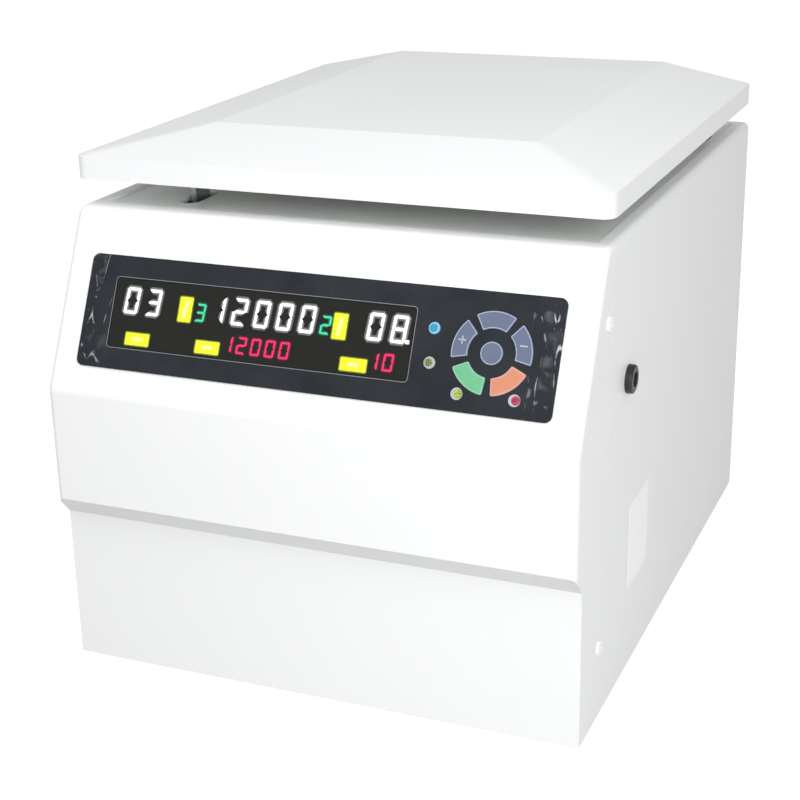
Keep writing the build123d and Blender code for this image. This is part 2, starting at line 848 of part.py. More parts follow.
# Hinges: a foot bracket on the deck, a leaf under the lid and a headed pin through both
hinge_spread = half_width - hinge_side_inset
hinge_spots = (-hinge_spread, hinge_spread)
leaf_low = liner_z - leaf_thickness
with BuildPart() as hinge_bases:
    for x in hinge_spots:
        with BuildSketch(Plane.YZ.offset(x - knuckle_width / 2)):
            with BuildLine():
                Polyline(
                    (hinge_y - knuckle_radius, hinge_z),
                    (hinge_y + knuckle_radius, hinge_z),
                    (hinge_y + knuckle_radius, deck_top),
                    (hinge_y - hinge_foot_reach, deck_top),
                    (hinge_y - hinge_foot_reach, deck_top + leaf_thickness),
                    (hinge_y - knuckle_radius, deck_top + leaf_thickness),
                    close=True,
                )
            make_face()
            with Locations((hinge_y, hinge_z)):
                Circle(knuckle_radius)
                Circle(hinge_pin_radius + running_gap, mode=Mode.SUBTRACT)
        extrude(amount=knuckle_width)
save(hinge_bases, "hinge_bases")

notch_width = knuckle_width + 2 * hinge_side_gap
notch_radius = knuckle_radius + 2 * hinge_side_gap
with BuildPart() as hinge_leaves:
    for x in hinge_spots:
        with BuildSketch(Plane.YZ.offset(x - leaf_width / 2)):
            with BuildLine():
                Polyline(
                    (hinge_y - leaf_reach, leaf_low),
                    (hinge_y - knuckle_radius, leaf_low),
                    (hinge_y - knuckle_radius, hinge_z),
                    (hinge_y + knuckle_radius, hinge_z),
                    (hinge_y + knuckle_radius, liner_z),
                    (hinge_y - leaf_reach, liner_z),
                    close=True,
                )
            make_face()
            with Locations((hinge_y, hinge_z)):
                Circle(knuckle_radius)
                Circle(hinge_pin_radius + running_gap, mode=Mode.SUBTRACT)
        extrude(amount=leaf_width)
        with BuildSketch(Plane.YZ.offset(x - notch_width / 2)):
            with Locations((hinge_y, hinge_z)):
                Rectangle(2 * notch_radius, 2 * notch_radius + leaf_thickness)
        extrude(amount=notch_width, mode=Mode.SUBTRACT)
save(hinge_leaves, "hinge_leaves")

with BuildPart() as hinge_pins:
    for x in hinge_spots:
        reach = leaf_width / 2 + fit_gap
        with BuildSketch(Plane.YZ.offset(x - reach)):
            with Locations((hinge_y, hinge_z)):
                Circle(hinge_pin_radius)
        extrude(amount=2 * reach)
        for side in (-1, 1):
            with BuildSketch(Plane.YZ.offset(x + side * reach)):
                with Locations((hinge_y, hinge_z)):
                    Circle(hinge_pin_head)
            extrude(amount=side * hinge_pin_head / 2)
save(hinge_pins, "hinge_pins")

# Gas struts: cylinder on a wall anchor below, rod with an eye in the slot of the lid bracket above
strut_base = Vector(0, strut_base_y, strut_base_z)
strut_top = Vector(0, pivot_shut[0], pivot_shut[1])
strut_axis = (strut_top - strut_base).normalized()
tube_foot = strut_base + strut_axis * (foot_eye_radius / 2)
rod_foot = strut_base + strut_axis * (cylinder_length - rod_overlap)
for side, word in ((-1, "left"), (1, "right")):
    shift = Vector(side * strut_x, 0, 0)
    with BuildPart() as strut_cylinder:
        with BuildSketch(Plane(origin=tube_foot + shift, z_dir=strut_axis)):
            Circle(cylinder_radius)
        extrude(amount=cylinder_length - foot_eye_radius / 2)
        fillet(strut_cylinder.edges().filter_by(GeomType.CIRCLE).sort_by(Axis.Z)[-1], cylinder_edge)
        with BuildSketch(Plane(origin=rod_foot + shift, z_dir=strut_axis)):
            Circle(rod_radius + running_gap)
        extrude(amount=rod_overlap, mode=Mode.SUBTRACT)
        with BuildSketch(Plane.YZ.offset(side * strut_x)):
            with Locations((strut_base_y, strut_base_z)):
                Circle(foot_eye_radius)
        extrude(amount=foot_eye_width / 2, both=True)
        with BuildSketch(Plane.YZ.offset(side * strut_x)):
            with Locations((strut_base_y, strut_base_z)):
                Circle(strut_pin_radius + running_gap)
        extrude(amount=cylinder_radius, both=True, mode=Mode.SUBTRACT)
    save(strut_cylinder, f"strut_cylinder_{word}")
    with BuildPart() as strut_rod:
        with BuildSketch(Plane(origin=rod_foot + strut_axis * fit_gap + shift, z_dir=strut_axis)):
            Circle(rod_radius)
        extrude(amount=strut_closed_length - cylinder_length + rod_overlap - fit_gap)
        with BuildSketch(Plane.YZ.offset(side * (strut_x + eye_width / 2))):
            with Locations(pivot_shut):
                Circle(eye_radius)
        extrude(amount=-side * eye_width)
        with BuildSketch(Plane.YZ.offset(side * (strut_x - eye_width / 2))):
            with Locations(pivot_shut):
                Circle(rod_pin_radius)
        extrude(amount=-side * (bracket_thickness + 2 * bracket_gap))
    save(strut_rod, f"strut_rod_{word}")

anchor_inner = strut_x - cylinder_radius - bracket_gap
with BuildPart() as strut_anchors:
    for side in (-1, 1):
        with BuildSketch(Plane.YZ.offset(side * inner_x)):
            with Locations((strut_base_y, strut_base_z)):
                RectangleRounded(2 * anchor_radius, 2 * anchor_radius, anchor_corner)
        extrude(amount=-side * anchor_thickness)
        with BuildSketch(Plane.YZ.offset(side * (inner_x - anchor_thickness))):
            with Locations((strut_base_y, strut_base_z)):
                Circle(strut_pin_radius)
        extrude(amount=-side * (inner_x - anchor_thickness - anchor_inner))
save(strut_anchors, "strut_anchors")

# Lid brackets with an oblong slot, because the eye keeps to a chord of the arc
slot_radius = rod_pin_radius + bracket_slot_slack
slot_angle = math.atan2(strut_drop, strut_arm)
strut_slot_travel = pivot_radius * (1 - math.cos(opening / 2)) + fit_gap
slot_middle = (
    pivot_shut[0] + strut_slot_travel / 2 * math.cos(slot_angle),
    pivot_shut[1] + strut_slot_travel / 2 * math.sin(slot_angle),
)
bracket_half = strut_slot_travel / 2 + slot_radius + bracket_margin
bracket_low = slot_middle[1] - slot_radius - bracket_margin / 2
bracket_face = strut_x - eye_width / 2 - bracket_gap
with BuildPart() as strut_brackets:
    for side in (-1, 1):
        with BuildSketch(Plane.YZ.offset(side * bracket_face)):
            with Locations((slot_middle[0], (liner_z + bracket_low) / 2)):
                Rectangle(2 * bracket_half, liner_z - bracket_low)
            with Locations(slot_middle):
                SlotCenterToCenter(
                    strut_slot_travel,
                    2 * slot_radius,
                    rotation=math.degrees(slot_angle),
                    mode=Mode.SUBTRACT,
                )
        extrude(amount=-side * bracket_thickness)
        with BuildSketch(Plane.XY.offset(liner_z)):
            with Locations((side * (bracket_face - bracket_foot / 2), slot_middle[0])):
                Rectangle(bracket_foot, 2 * bracket_half)
        extrude(amount=-bracket_thickness / 2)
save(strut_brackets, "strut_brackets")

# Striker: a hooked plate under the lid, with a stop pin that rests over the deck
striker_y = front_y + striker_front
striker_low = deck_top - striker_depth
toe_top = striker_low + toe_height
striker_back = striker_y + striker_length
striker_mid_y = (striker_y + striker_back) / 2
with BuildPart() as lid_striker:
    with BuildSketch(Plane.YZ.offset(striker_x - striker_thickness / 2)):
        with BuildLine():
            Polyline(
                (striker_y, liner_z),
                (striker_y, toe_top),
                (striker_y - toe_reach, toe_top),
                (striker_y - toe_reach, striker_low + toe_height / 2),
                (striker_y - toe_reach / 2, striker_low),
                (striker_back, striker_low),
                (striker_back, liner_z),
                close=True,
            )
        make_face()
    extrude(amount=striker_thickness)
    with BuildSketch(Plane.XY.offset(liner_z)):
        with Locations((striker_x + (striker_foot - striker_thickness) / 2, striker_mid_y)):
            Rectangle(striker_foot, striker_length)
    extrude(amount=-striker_thickness / 2)
    with BuildSketch(Plane.YZ.offset(striker_x)):
        with Locations((striker_mid_y, deck_top + stop_pin_height)):
            Circle(stop_pin_radius)
    extrude(amount=stop_pin_reach, both=True)
save(lid_striker, "lid_striker")

# Lock frame under the deck, open at the back and below, with bores for the release spindle
lock_front_y = front_y + lock_front
lock_back_y = front_y + lock_back
lock_low = release_z - lock_below
with BuildPart() as lock_frame:
    with BuildSketch(Plane.XY.offset(lock_low)):
        with Locations((striker_x, (lock_front_y + lock_back_y) / 2)):
            Rectangle(lock_width, lock_back_y - lock_front_y)
    extrude(amount=deck_bottom - lock_low)
    with BuildSketch(Plane.XY.offset(lock_low)):
        with Locations((striker_x, (lock_front_y + lock_back_y) / 2 + lock_wall)):
            Rectangle(lock_width - 2 * lock_wall, lock_back_y - lock_front_y)
    extrude(amount=deck_bottom - lock_low - lock_wall, mode=Mode.SUBTRACT)
    with BuildSketch(Plane.XY.offset(deck_bottom)):
        with Locations((striker_x, latch_slot_y)):
            SlotOverall(latch_slot_length, latch_slot_width, rotation=90)
    extrude(amount=-2 * lock_wall, mode=Mode.SUBTRACT)
    with BuildSketch(Plane.YZ.offset(striker_x)):
        with Locations((release_y, release_z)):
            Circle(release_radius + running_gap)
    extrude(amount=lock_width, both=True, mode=Mode.SUBTRACT)
    with BuildSketch(Plane.XZ.offset(-lock_front_y - 2 * lock_wall)):
        with Locations((striker_x, release_z + plunger_rise)):
            Circle(plunger_radius + fit_gap)
    extrude(amount=3 * lock_wall, mode=Mode.SUBTRACT)
save(lock_frame, "lock_frame")

# Pawl: it turns with the spindle until its nose lies over the striker's toe
nose_z = toe_top + nose_lift
nose_tip = striker_y - toe_reach - nose_gap
arm_back = nose_tip - nose_length + pawl_arm_width / 2
arm_front = arm_back - pawl_arm_top
knee_z = striker_low - toe_height / 2
with BuildPart() as lock_pawl:
    with BuildSketch(Plane.YZ.offset(striker_x - pawl_thickness / 2)):
        with BuildLine():
            Polyline(
                (release_y + pawl_arm_width / 2, release_z),
                (arm_back, knee_z),
                (arm_back, nose_z),
                (nose_tip, nose_z),
                (nose_tip - nose_height / 3, nose_z + nose_height),
                (arm_front, nose_z + nose_height),
                (arm_front, knee_z),
                (release_y - pawl_arm_width / 2, release_z),
                close=True,
            )
        make_face()
    extrude(amount=pawl_thickness)
    with BuildSketch(Plane.YZ.offset(striker_x)):
        with Locations((release_y, release_z)):
            Circle(pawl_hub_radius)
    extrude(amount=pawl_hub_width / 2, both=True)
    with BuildSketch(Plane.YZ.offset(striker_x)):
        with Locations((release_y, release_z)):
            Circle(release_radius + running_gap / 2)
    extrude(amount=pawl_hub_width, both=True, mode=Mode.SUBTRACT)
save(lock_pawl, "lock_pawl")

spindle_left = striker_x - lock_width / 2 - release_radius
spindle_right = half_width + bushing_proud - bushing_mouth_depth
with BuildPart() as release_spindle:
    with BuildSketch(Plane.YZ.offset(spindle_left)):
        with Locations((release_y, release_z)):
            Circle(release_radius)
    extrude(amount=spindle_right - spindle_left)
    with BuildSketch(Plane.YZ.offset(spindle_right)):
        with Locations((release_y, release_z)):
            RegularPolygon(release_socket / 2, 6, major_radius=False)
    extrude(amount=-release_socket_depth, mode=Mode.SUBTRACT)
save(release_spindle, "release_spindle")

with BuildPart() as release_bushing:
    with BuildSketch(Plane.YZ.offset(half_width)):
        with Locations((release_y, release_z)):
            Circle(bushing_flange_radius)
    extrude(amount=bushing_proud)
    fillet(release_bushing.edges().sort_by(Axis.X)[-1], bushing_edge)
    with BuildSketch(Plane.YZ.offset(half_width)):
        with Locations((release_y, release_z)):
            Circle(bushing_barrel_radius)
    extrude(amount=-bushing_barrel)
    with BuildSketch(Plane.YZ.offset(half_width - bushing_barrel)):
        with Locations((release_y, release_z)):
            Circle(release_radius + running_gap)
    extrude(amount=bushing_barrel + bushing_proud, mode=Mode.SUBTRACT)
    with BuildSketch(Plane.YZ.offset(spindle_right)):
        with Locations((release_y, release_z)):
            Circle(bushing_mouth_radius)
    extrude(amount=bushing_mouth_depth, mode=Mode.SUBTRACT)
save(release_bushing, "release_bushing")

# Solenoid in front of the lock frame, whose plunger pushes the pawl
plunger_z = release_z + plunger_rise
arm_lean = (release_y - pawl_arm_width / 2 - arm_front) / (knee_z - release_z)
arm_face = release_y - pawl_arm_width / 2 - arm_lean * (plunger_rise + plunger_radius)
plunger_tip = arm_face - 2 * fit_gap
with BuildPart() as lock_solenoid:
    with BuildSketch(Plane.XZ.offset(-lock_front_y)):
        with Locations((striker_x, plunger_z)):
            RectangleRounded(solenoid_size, solenoid_size, solenoid_corner)
    extrude(amount=solenoid_length)
    with BuildSketch(Plane.XZ.offset(-lock_front_y)):
        with Locations((striker_x, plunger_z)):
            Circle(plunger_radius + running_gap)
    extrude(amount=solenoid_length - solenoid_end, mode=Mode.SUBTRACT)
save(lock_solenoid, "lock_solenoid")

with BuildPart() as lock_plunger:
    with BuildSketch(Plane.XZ.offset(-plunger_tip)):
        with Locations((striker_x, plunger_z)):
            Circle(plunger_radius)
    extrude(amount=plunger_length)
    chamfer(lock_plunger.edges().sort_by(Axis.Y)[-1], plunger_edge)
save(lock_plunger, "lock_plunger")

# Control panel: a dark overlay on the slope with the window, keys and lamps let into it
ring_turns = {"select": 90.0, "increase": 162.0, "start": 234.0, "stop": 306.0, "decrease": 18.0}


def ring_face(turn, grow, height):
    """Segment of the key ring on a plane at this height over the slope, its outline moved out by grow."""
    lean = math.radians(ring_key_span / 2)
    apex = -grow / math.sin(lean)
    middle = math.radians(turn)
    spread = 2 * ring_outer
    corner = (apex * math.cos(middle), apex * math.sin(middle))
    left = (corner[0] + spread * math.cos(middle + lean), corner[1] + spread * math.sin(middle + lean))
    right = (corner[0] + spread * math.cos(middle - lean), corner[1] + spread * math.sin(middle - lean))
    with BuildSketch(panel_plane.offset(height)) as face:
        with Locations((ring_x, 0)):
            Circle(ring_outer + grow)
            Circle(ring_inner - grow, mode=Mode.SUBTRACT)
            Polygon(corner, right, left, align=None, mode=Mode.INTERSECT)
        fillet(face.vertices(), ring_corner + grow)
    return face.sketch


def round_face(x, y, radius, grow, height):
    """Disc on a plane at this height over the slope, its radius larger by grow."""
    with BuildSketch(panel_plane.offset(height)) as face:
        with Locations((x, y)):
            Circle(radius + grow)
    return face.sketch


round_keys = {
    "enter": (ring_x, 0.0, enter_radius),
    "mode": (side_key_x, side_key_rise, side_key_radius),
    "light": (side_key_x, -side_key_drop, side_key_radius),
}
lamps = {
    "green": (ring_x - lamp_spread, -lamp_drop, lamp_radius),
    "red": (ring_x + lamp_spread, -lamp_drop, lamp_radius),
}
ring_middle = (ring_outer + ring_inner) / 2
key_centres = [(x, y) for x, y, radius in round_keys.values()] + [
    (
        ring_x + ring_middle * math.cos(math.radians(turn)),
        ring_middle * math.sin(math.radians(turn)),
    )
    for turn in ring_turns.values()
]

with BuildPart() as panel_overlay:
    with BuildSketch(panel_plane):
        RectangleRounded(panel_width, panel_height, panel_corner)
        with Locations((window_x, 0)):
            RectangleRounded(window_width, window_height, window_corner, mode=Mode.SUBTRACT)
    extrude(amount=panel_thickness)
    for turn in ring_turns.values():
        hole = ring_face(turn, key_gap, 0)
        extrude(hole, amount=panel_thickness, dir=panel_out, mode=Mode.SUBTRACT)
    for x, y, radius in [*round_keys.values(), *lamps.values()]:
        hole = round_face(x, y, radius, key_gap, 0)
        extrude(hole, amount=panel_thickness, dir=panel_out, mode=Mode.SUBTRACT)
save(panel_overlay, "panel_overlay")

with BuildPart() as display_window:
    with BuildSketch(panel_plane.offset(-display_block_drop)):
        with Locations((window_x, 0)):
            RectangleRounded(window_width - 2 * key_gap, window_height - 2 * key_gap, window_corner)
    extrude(amount=panel_thickness + display_block_drop - key_edge / 2)
save(display_window, "display_window")

# Display board on four standoffs behind the slope
board_width = panel_width - 2 * board_end
board_height = panel_height - 2 * board_edge
standoff_x = board_width / 2 - 2 * standoff_radius
standoff_y = board_height / 2 - 2 * standoff_radius
with BuildPart() as display_board:
    with BuildSketch(panel_plane.offset(-board_drop)):
        Rectangle(board_width, board_height)
    extrude(amount=-board_thickness)
    with BuildSketch(panel_plane.offset(-board_drop)):
        with Locations((window_x, 0)):
            Rectangle(window_width - 4 * window_corner, window_height - 2 * window_corner)
    extrude(amount=board_drop - display_block_drop)
    with BuildSketch(panel_plane.offset(-board_drop)):
        with GridLocations(2 * standoff_x, 2 * standoff_y, 2, 2):
            Circle(standoff_radius)
    extrude(amount=board_drop - sheet)
    with BuildSketch(panel_plane.offset(-board_drop)):
        with Locations(*key_centres):
            Circle(key_switch_radius)
    extrude(amount=board_drop - key_depth - key_travel - fit_gap)
save(display_board, "display_board")

for word, (x, y, radius) in lamps.items():
    with BuildPart() as lamp:
        foot = round_face(x, y, radius, 0, -board_drop)
        extrude(foot, amount=board_drop + panel_thickness, dir=panel_out)
        fillet(lamp.edges().sort_by(Axis(panel_centre, panel_out))[-1], lamp_edge)
    save(lamp, f"lamp_lens_{word}")

key_top = panel_thickness + key_proud
for word, turn in ring_turns.items():
    with BuildPart() as key:
        extrude(ring_face(turn, 0, -key_depth), amount=key_depth + key_top, dir=panel_out)
        top_face = key.faces().sort_by(Axis(panel_centre, panel_out))[-1]
        chamfer(top_face.edges(), key_edge)
        extrude(ring_face(turn, key_flange, -key_depth), amount=key_flange_height, dir=panel_out)
    save(key, f"key_{word}")
for word, (x, y, radius) in round_keys.items():
    with BuildPart() as key:
        extrude(round_face(x, y, radius, 0, -key_depth), amount=key_depth + key_top, dir=panel_out)
        top_face = key.faces().sort_by(Axis(panel_centre, panel_out))[-1]
        chamfer(top_face.edges(), key_edge)
        extrude(round_face(x, y, radius, key_flange, -key_depth), amount=key_flange_height, dir=panel_out)
    save(key, f"key_{word}")

# Control board on standoffs and the finned motor drive, both on the base plate
control_x = control_side_gap + control_width / 2 - inner_x
control_y = front_y + control_back
control_z = floor_z + control_rise
post_x = control_width - 4 * standoff_radius
post_y = control_length - 4 * standoff_radius
with BuildPart() as control_board:
    with BuildSketch(Plane.XY.offset(control_z)):
        with Locations((control_x, control_y)):
            Rectangle(control_width, control_length)
    extrude(amount=board_thickness)
    with BuildSketch(Plane.XY.offset(floor_z)):
        with Locations((control_x, control_y)):
            with GridLocations(post_x, post_y, 2, 2):
                Circle(standoff_radius)
    extrude(amount=control_rise)
    with BuildSketch(Plane.XY.offset(control_z + board_thickness)):
        with Locations((control_x, control_y)):
            with GridLocations(chip_pitch, chip_row_pitch, chip_columns, 2):
                Rectangle(chip_width, chip_length)
    extrude(amount=chip_height)
    with BuildSketch(Plane.XY.offset(control_z + board_thickness)):
        with Locations((control_x, control_y)):
            with GridLocations(capacitor_pitch, 0, chip_columns, 1):
                Circle(capacitor_radius)
    extrude(amount=capacitor_height)
save(control_board, "control_board")

drive_y = front_y + drive_back
drive_x = inner_x - drive_side_gap - drive_width / 2
with BuildPart() as motor_drive:
    with BuildSketch(Plane.XY.offset(floor_z)):
        with Locations((drive_x, drive_y)):
            Rectangle(drive_width, drive_length)
    extrude(amount=drive_height)
    with BuildSketch(Plane.XY.offset(floor_z + drive_height)):
        with Locations((drive_x, drive_y)):
            with GridLocations((drive_width - drive_fin_width) / (drive_fins - 1), 0, drive_fins, 1):
                Rectangle(drive_fin_width, drive_length)
    extrude(amount=drive_fin_height)
save(motor_drive, "motor_drive")

# Rear panel: a plate behind the opening of the main cover, with vents, fan, inlet and switch
plate_low = rear_low - rear_lap
plate_high = rear_high + rear_lap
plate_half = half_width - rear_margin + rear_lap
rear_inner_y = back_y - sheet
fan_x = fan_side_inset - half_width
fan_z = bottom_z + fan_height
inlet_x = half_width - inlet_side_inset
inlet_z = bottom_z + inlet_height
switch_z = bottom_z + switch_height
with BuildPart() as rear_panel:
    with BuildSketch(Plane.XZ.offset(-rear_inner_y)):
        with Locations((0, (plate_low + plate_high) / 2)):
            Rectangle(2 * plate_half, plate_high - plate_low)
        with Locations((fan_x, fan_z)):
            Circle(fan_bore, mode=Mode.SUBTRACT)
        with Locations((inlet_x, inlet_z)):
            Rectangle(inlet_body_width + 2 * fit_gap, inlet_body_tall + 2 * fit_gap, mode=Mode.SUBTRACT)
        with Locations((inlet_x, switch_z)):
            Rectangle(switch_body_width + 2 * fit_gap, switch_body_tall + 2 * fit_gap, mode=Mode.SUBTRACT)
        with Locations((0, rim_z - vent_drop)):
            with GridLocations(half_width - vent_side_inset, vent_pitch, vent_columns, vent_rows):
                SlotOverall(vent_length, vent_width, mode=Mode.SUBTRACT)
    extrude(amount=rear_sheet)
save(rear_panel, "rear_panel")

# Cooling fan: frame with three spokes and a boss, bladed rotor and wire guard
fan_back = rear_inner_y - rear_sheet
fan_front = fan_back - fan_depth
with BuildPart() as fan_frame:
    with BuildSketch(Plane.XZ.offset(-fan_back)):
        with Locations((fan_x, fan_z)):
            RectangleRounded(fan_size, fan_size, fan_corner)
            Circle(fan_bore, mode=Mode.SUBTRACT)
    extrude(amount=fan_depth)
    with BuildSketch(Plane.XZ.offset(-fan_front - fan_boss_height)):
        with Locations((fan_x, fan_z)):
            Circle(fan_hub_radius)
            with PolarLocations((fan_bore + fan_corner / 2) / 2, spoke_count, start_angle=90):
                Rectangle(fan_bore + fan_corner / 2, spoke_width)
    extrude(amount=fan_boss_height)
    with BuildSketch(Plane.XZ.offset(-fan_front - fan_boss_height)):
        with Locations((fan_x, fan_z)):
            Circle(fan_pin_radius)
    extrude(amount=-fan_depth / 2)
save(fan_frame, "fan_frame")

blade_foot = fan_front + fan_boss_height + fan_hub_gap
blade_depth = fan_depth - fan_boss_height - 2 * fan_hub_gap - fan_tip_gap
blade_reach = fan_bore - fan_tip_gap - fan_hub_radius
with BuildPart() as fan_rotor:
    with BuildSketch(Plane.XZ.offset(-blade_foot)):
        with Locations((fan_x, fan_z)):
            Circle(fan_hub_radius)
    extrude(amount=-blade_depth)
    for index in range(fan_blades):
        turn = math.radians(360.0 / fan_blades * index)
        radial = Vector(math.cos(turn), 0, math.sin(turn))
        across = Vector(-math.sin(turn), 0, math.cos(turn))
        tilt = math.radians(fan_blade_tilt)
        lean = Vector(0, 1, 0) * math.cos(tilt) + across * math.sin(tilt)
        root = Vector(fan_x, blade_foot + blade_depth / 2, fan_z) + radial * (fan_hub_radius - fan_blade_root)
        with BuildSketch(Plane(origin=root, x_dir=lean, z_dir=radial)):
            Rectangle(blade_depth - 2 * fan_blade_margin, fan_blade_thickness)
        extrude(amount=blade_reach)
    with BuildSketch(Plane.XZ.offset(-blade_foot)):
        with Locations((fan_x, fan_z)):
            Circle(fan_pin_radius + running_gap)
    extrude(amount=-fan_depth / 2, mode=Mode.SUBTRACT)
save(fan_rotor, "fan_rotor")

with BuildPart() as fan_guard:
    with BuildSketch(Plane.XZ.offset(-rear_inner_y)):
        with Locations((fan_x, fan_z)):
            for index in range(guard_ring_count):
                radius = guard_ring_radius + guard_ring_pitch * index
                Circle(radius)
                Circle(radius - guard_wire, mode=Mode.SUBTRACT)
            with PolarLocations(0, guard_tie_count, start_angle=180 / guard_tie_count):
                with Locations((guard_tab / 2, 0)):
                    Rectangle(guard_tab, guard_wire)
    extrude(amount=-guard_wire)
save(fan_guard, "fan_guard")

# Mains inlet and rocker switch
with BuildPart() as power_inlet:
    with BuildSketch(Plane.XZ.offset(-rear_inner_y)):
        with Locations((inlet_x, inlet_z)):
            RectangleRounded(inlet_width, inlet_tall, inlet_plate)
    extrude(amount=-inlet_plate)
    with BuildSketch(Plane.XZ.offset(-rear_inner_y)):
        with Locations((inlet_x, inlet_z)):
            Rectangle(inlet_body_width, inlet_body_tall)
    extrude(amount=inlet_body_depth)
    with BuildSketch(Plane.XZ.offset(-rear_inner_y - inlet_plate)):
        with Locations((inlet_x, inlet_z)):
            RectangleRounded(inlet_socket_width, inlet_socket_tall, inlet_plate)
    extrude(amount=inlet_socket_depth, mode=Mode.SUBTRACT)
    socket_floor = rear_inner_y + inlet_plate - inlet_socket_depth
    with BuildSketch(Plane.XZ.offset(-socket_floor)):
        with Locations(
            (inlet_x, inlet_z + blade_rise),
            (inlet_x - blade_spread, inlet_z - blade_rise),
            (inlet_x + blade_spread, inlet_z - blade_rise),
        ):
            Rectangle(blade_width, blade_height)
    extrude(amount=-blade_length)
save(power_inlet, "power_inlet")

switch_open = (switch_body_width - 2 * switch_wall, switch_body_tall - 2 * switch_wall)
rocker_half = switch_open[0] / 2 - 2 * rocker_gap
rocker_tall = switch_open[1] - 2 * rocker_gap
rocker_y = rear_inner_y - rocker_sink
with BuildPart() as power_switch:
    with BuildSketch(Plane.XZ.offset(-rear_inner_y)):
        with Locations((inlet_x, switch_z)):
            RectangleRounded(switch_width, switch_tall, switch_plate)
    extrude(amount=-switch_plate)
    with BuildSketch(Plane.XZ.offset(-rear_inner_y)):
        with Locations((inlet_x, switch_z)):
            Rectangle(switch_body_width, switch_body_tall)
    extrude(amount=switch_depth)
    with BuildSketch(Plane.XZ.offset(-rear_inner_y - switch_plate)):
        with Locations((inlet_x, switch_z)):
            Rectangle(switch_open[0], switch_open[1])
    extrude(amount=switch_depth + switch_plate - switch_wall, mode=Mode.SUBTRACT)
    with BuildSketch(Plane.XY.offset(switch_z)):
        with Locations((inlet_x, rocker_y)):
            Circle(rocker_pin_radius + running_gap)
    extrude(amount=rocker_tall / 2 + rocker_gap + rocker_pin_reach, both=True, mode=Mode.SUBTRACT)
save(power_switch, "power_switch")

rocker_turn = math.radians(rocker_tilt)
rocker_plane = Plane(
    origin=(inlet_x, rocker_y, switch_z),
    x_dir=(math.cos(rocker_turn), -math.sin(rocker_turn), 0),
    z_dir=(0, 0, 1),
)
with BuildPart() as switch_rocker:
    with BuildSketch(rocker_plane):
        with BuildLine():
            Polyline(
                (-rocker_half, 0),
                (-rocker_half, rocker_reach),
                (0, rocker_reach - rocker_crown),
                (rocker_half, rocker_reach),
                (rocker_half, 0),
                (rocker_half / 2, -rocker_reach),
                (-rocker_half / 2, -rocker_reach),
                close=True,
            )
        make_face()
    extrude(amount=rocker_tall / 2, both=True)
    with BuildSketch(rocker_plane):
        Circle(rocker_pin_radius)
    extrude(amount=rocker_tall / 2 + rocker_gap + rocker_pin_reach - fit_gap, both=True)
save(switch_rocker, "switch_rocker")
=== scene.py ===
"""Looks of a bench-top high-speed centrifuge: paint, metal, rubber, lit display, keys, stage and camera."""

import json
import math

import bmesh
import bpy
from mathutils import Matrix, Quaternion, Vector


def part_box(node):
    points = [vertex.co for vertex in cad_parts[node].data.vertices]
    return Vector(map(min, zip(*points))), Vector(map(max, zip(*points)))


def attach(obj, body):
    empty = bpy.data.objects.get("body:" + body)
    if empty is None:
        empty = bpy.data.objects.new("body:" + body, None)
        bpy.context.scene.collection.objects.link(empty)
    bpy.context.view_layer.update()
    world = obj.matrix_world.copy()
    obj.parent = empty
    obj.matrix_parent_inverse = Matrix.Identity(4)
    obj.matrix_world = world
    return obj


bl_info = {
    "name": "Bench Centrifuge",
    "version": (1, 0, 0),
    "blender": (4, 5, 0),
    "location": "View3D > Sidebar > Centrifuge",
    "description": "Dresses the packed centrifuge with its finishes, display and stage",
    "category": "Object",
}

MM = 0.001
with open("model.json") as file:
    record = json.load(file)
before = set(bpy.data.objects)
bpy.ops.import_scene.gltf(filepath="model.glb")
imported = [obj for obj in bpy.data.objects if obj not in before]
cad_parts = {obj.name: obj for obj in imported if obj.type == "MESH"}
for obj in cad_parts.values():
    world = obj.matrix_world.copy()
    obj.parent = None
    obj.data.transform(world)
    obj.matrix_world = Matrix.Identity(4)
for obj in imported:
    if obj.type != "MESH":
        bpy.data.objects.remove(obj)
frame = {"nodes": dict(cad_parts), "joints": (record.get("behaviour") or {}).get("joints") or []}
NODES = frame["nodes"]
JOINTS = {joint["name"]: joint for joint in frame["joints"]}
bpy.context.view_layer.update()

# The panel's plane: its outward normal is the way back out for a key, its face is the overlay's top
PANEL_OUT = -Vector(JOINTS["key_select_press"]["axis"])
PANEL_UP = PANEL_OUT.cross(Vector((1, 0, 0)))
OVERLAY_LOW, OVERLAY_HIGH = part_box("panel_overlay")
OVERLAY_THICKNESS = 1.2 * MM
PANEL_FACE = (OVERLAY_LOW + OVERLAY_HIGH) / 2 + PANEL_OUT * OVERLAY_THICKNESS / 2
WINDOW_FACE = -0.15 * MM
KEY_FACE = 0.6 * MM
KEY_FLANGE = 0.7 * MM
PRINT = 0.06 * MM
CHAMBER_Y = JOINTS["rotor_spin"]["pos_m"][1]

# Ring of keys: radii, turn of the middle of each key, and the angle that one key takes
RING_OUTER = 27.0 * MM
RING_INNER = 15.5 * MM
RING_TURNS = {"select": 90, "increase": 162, "start": 234, "stop": 306, "decrease": 18}
RING_KEY_SPAN = 60.0

# Films of the coloured keys, how far an outline stands in from an edge, and the bars of the plus and minus
KEY_TINTS = {
    "key_start": (0.13, 0.44, 0.22),
    "key_stop": (0.60, 0.23, 0.125),
    "key_mode": (0.008, 0.29, 0.45),
    "key_light": (0.21, 0.245, 0.07),
}
KEY_EDGE = 0.5 * MM
MARK_HALF_LENGTH = 2.6 * MM
MARK_HALF_WIDTH = 0.45 * MM

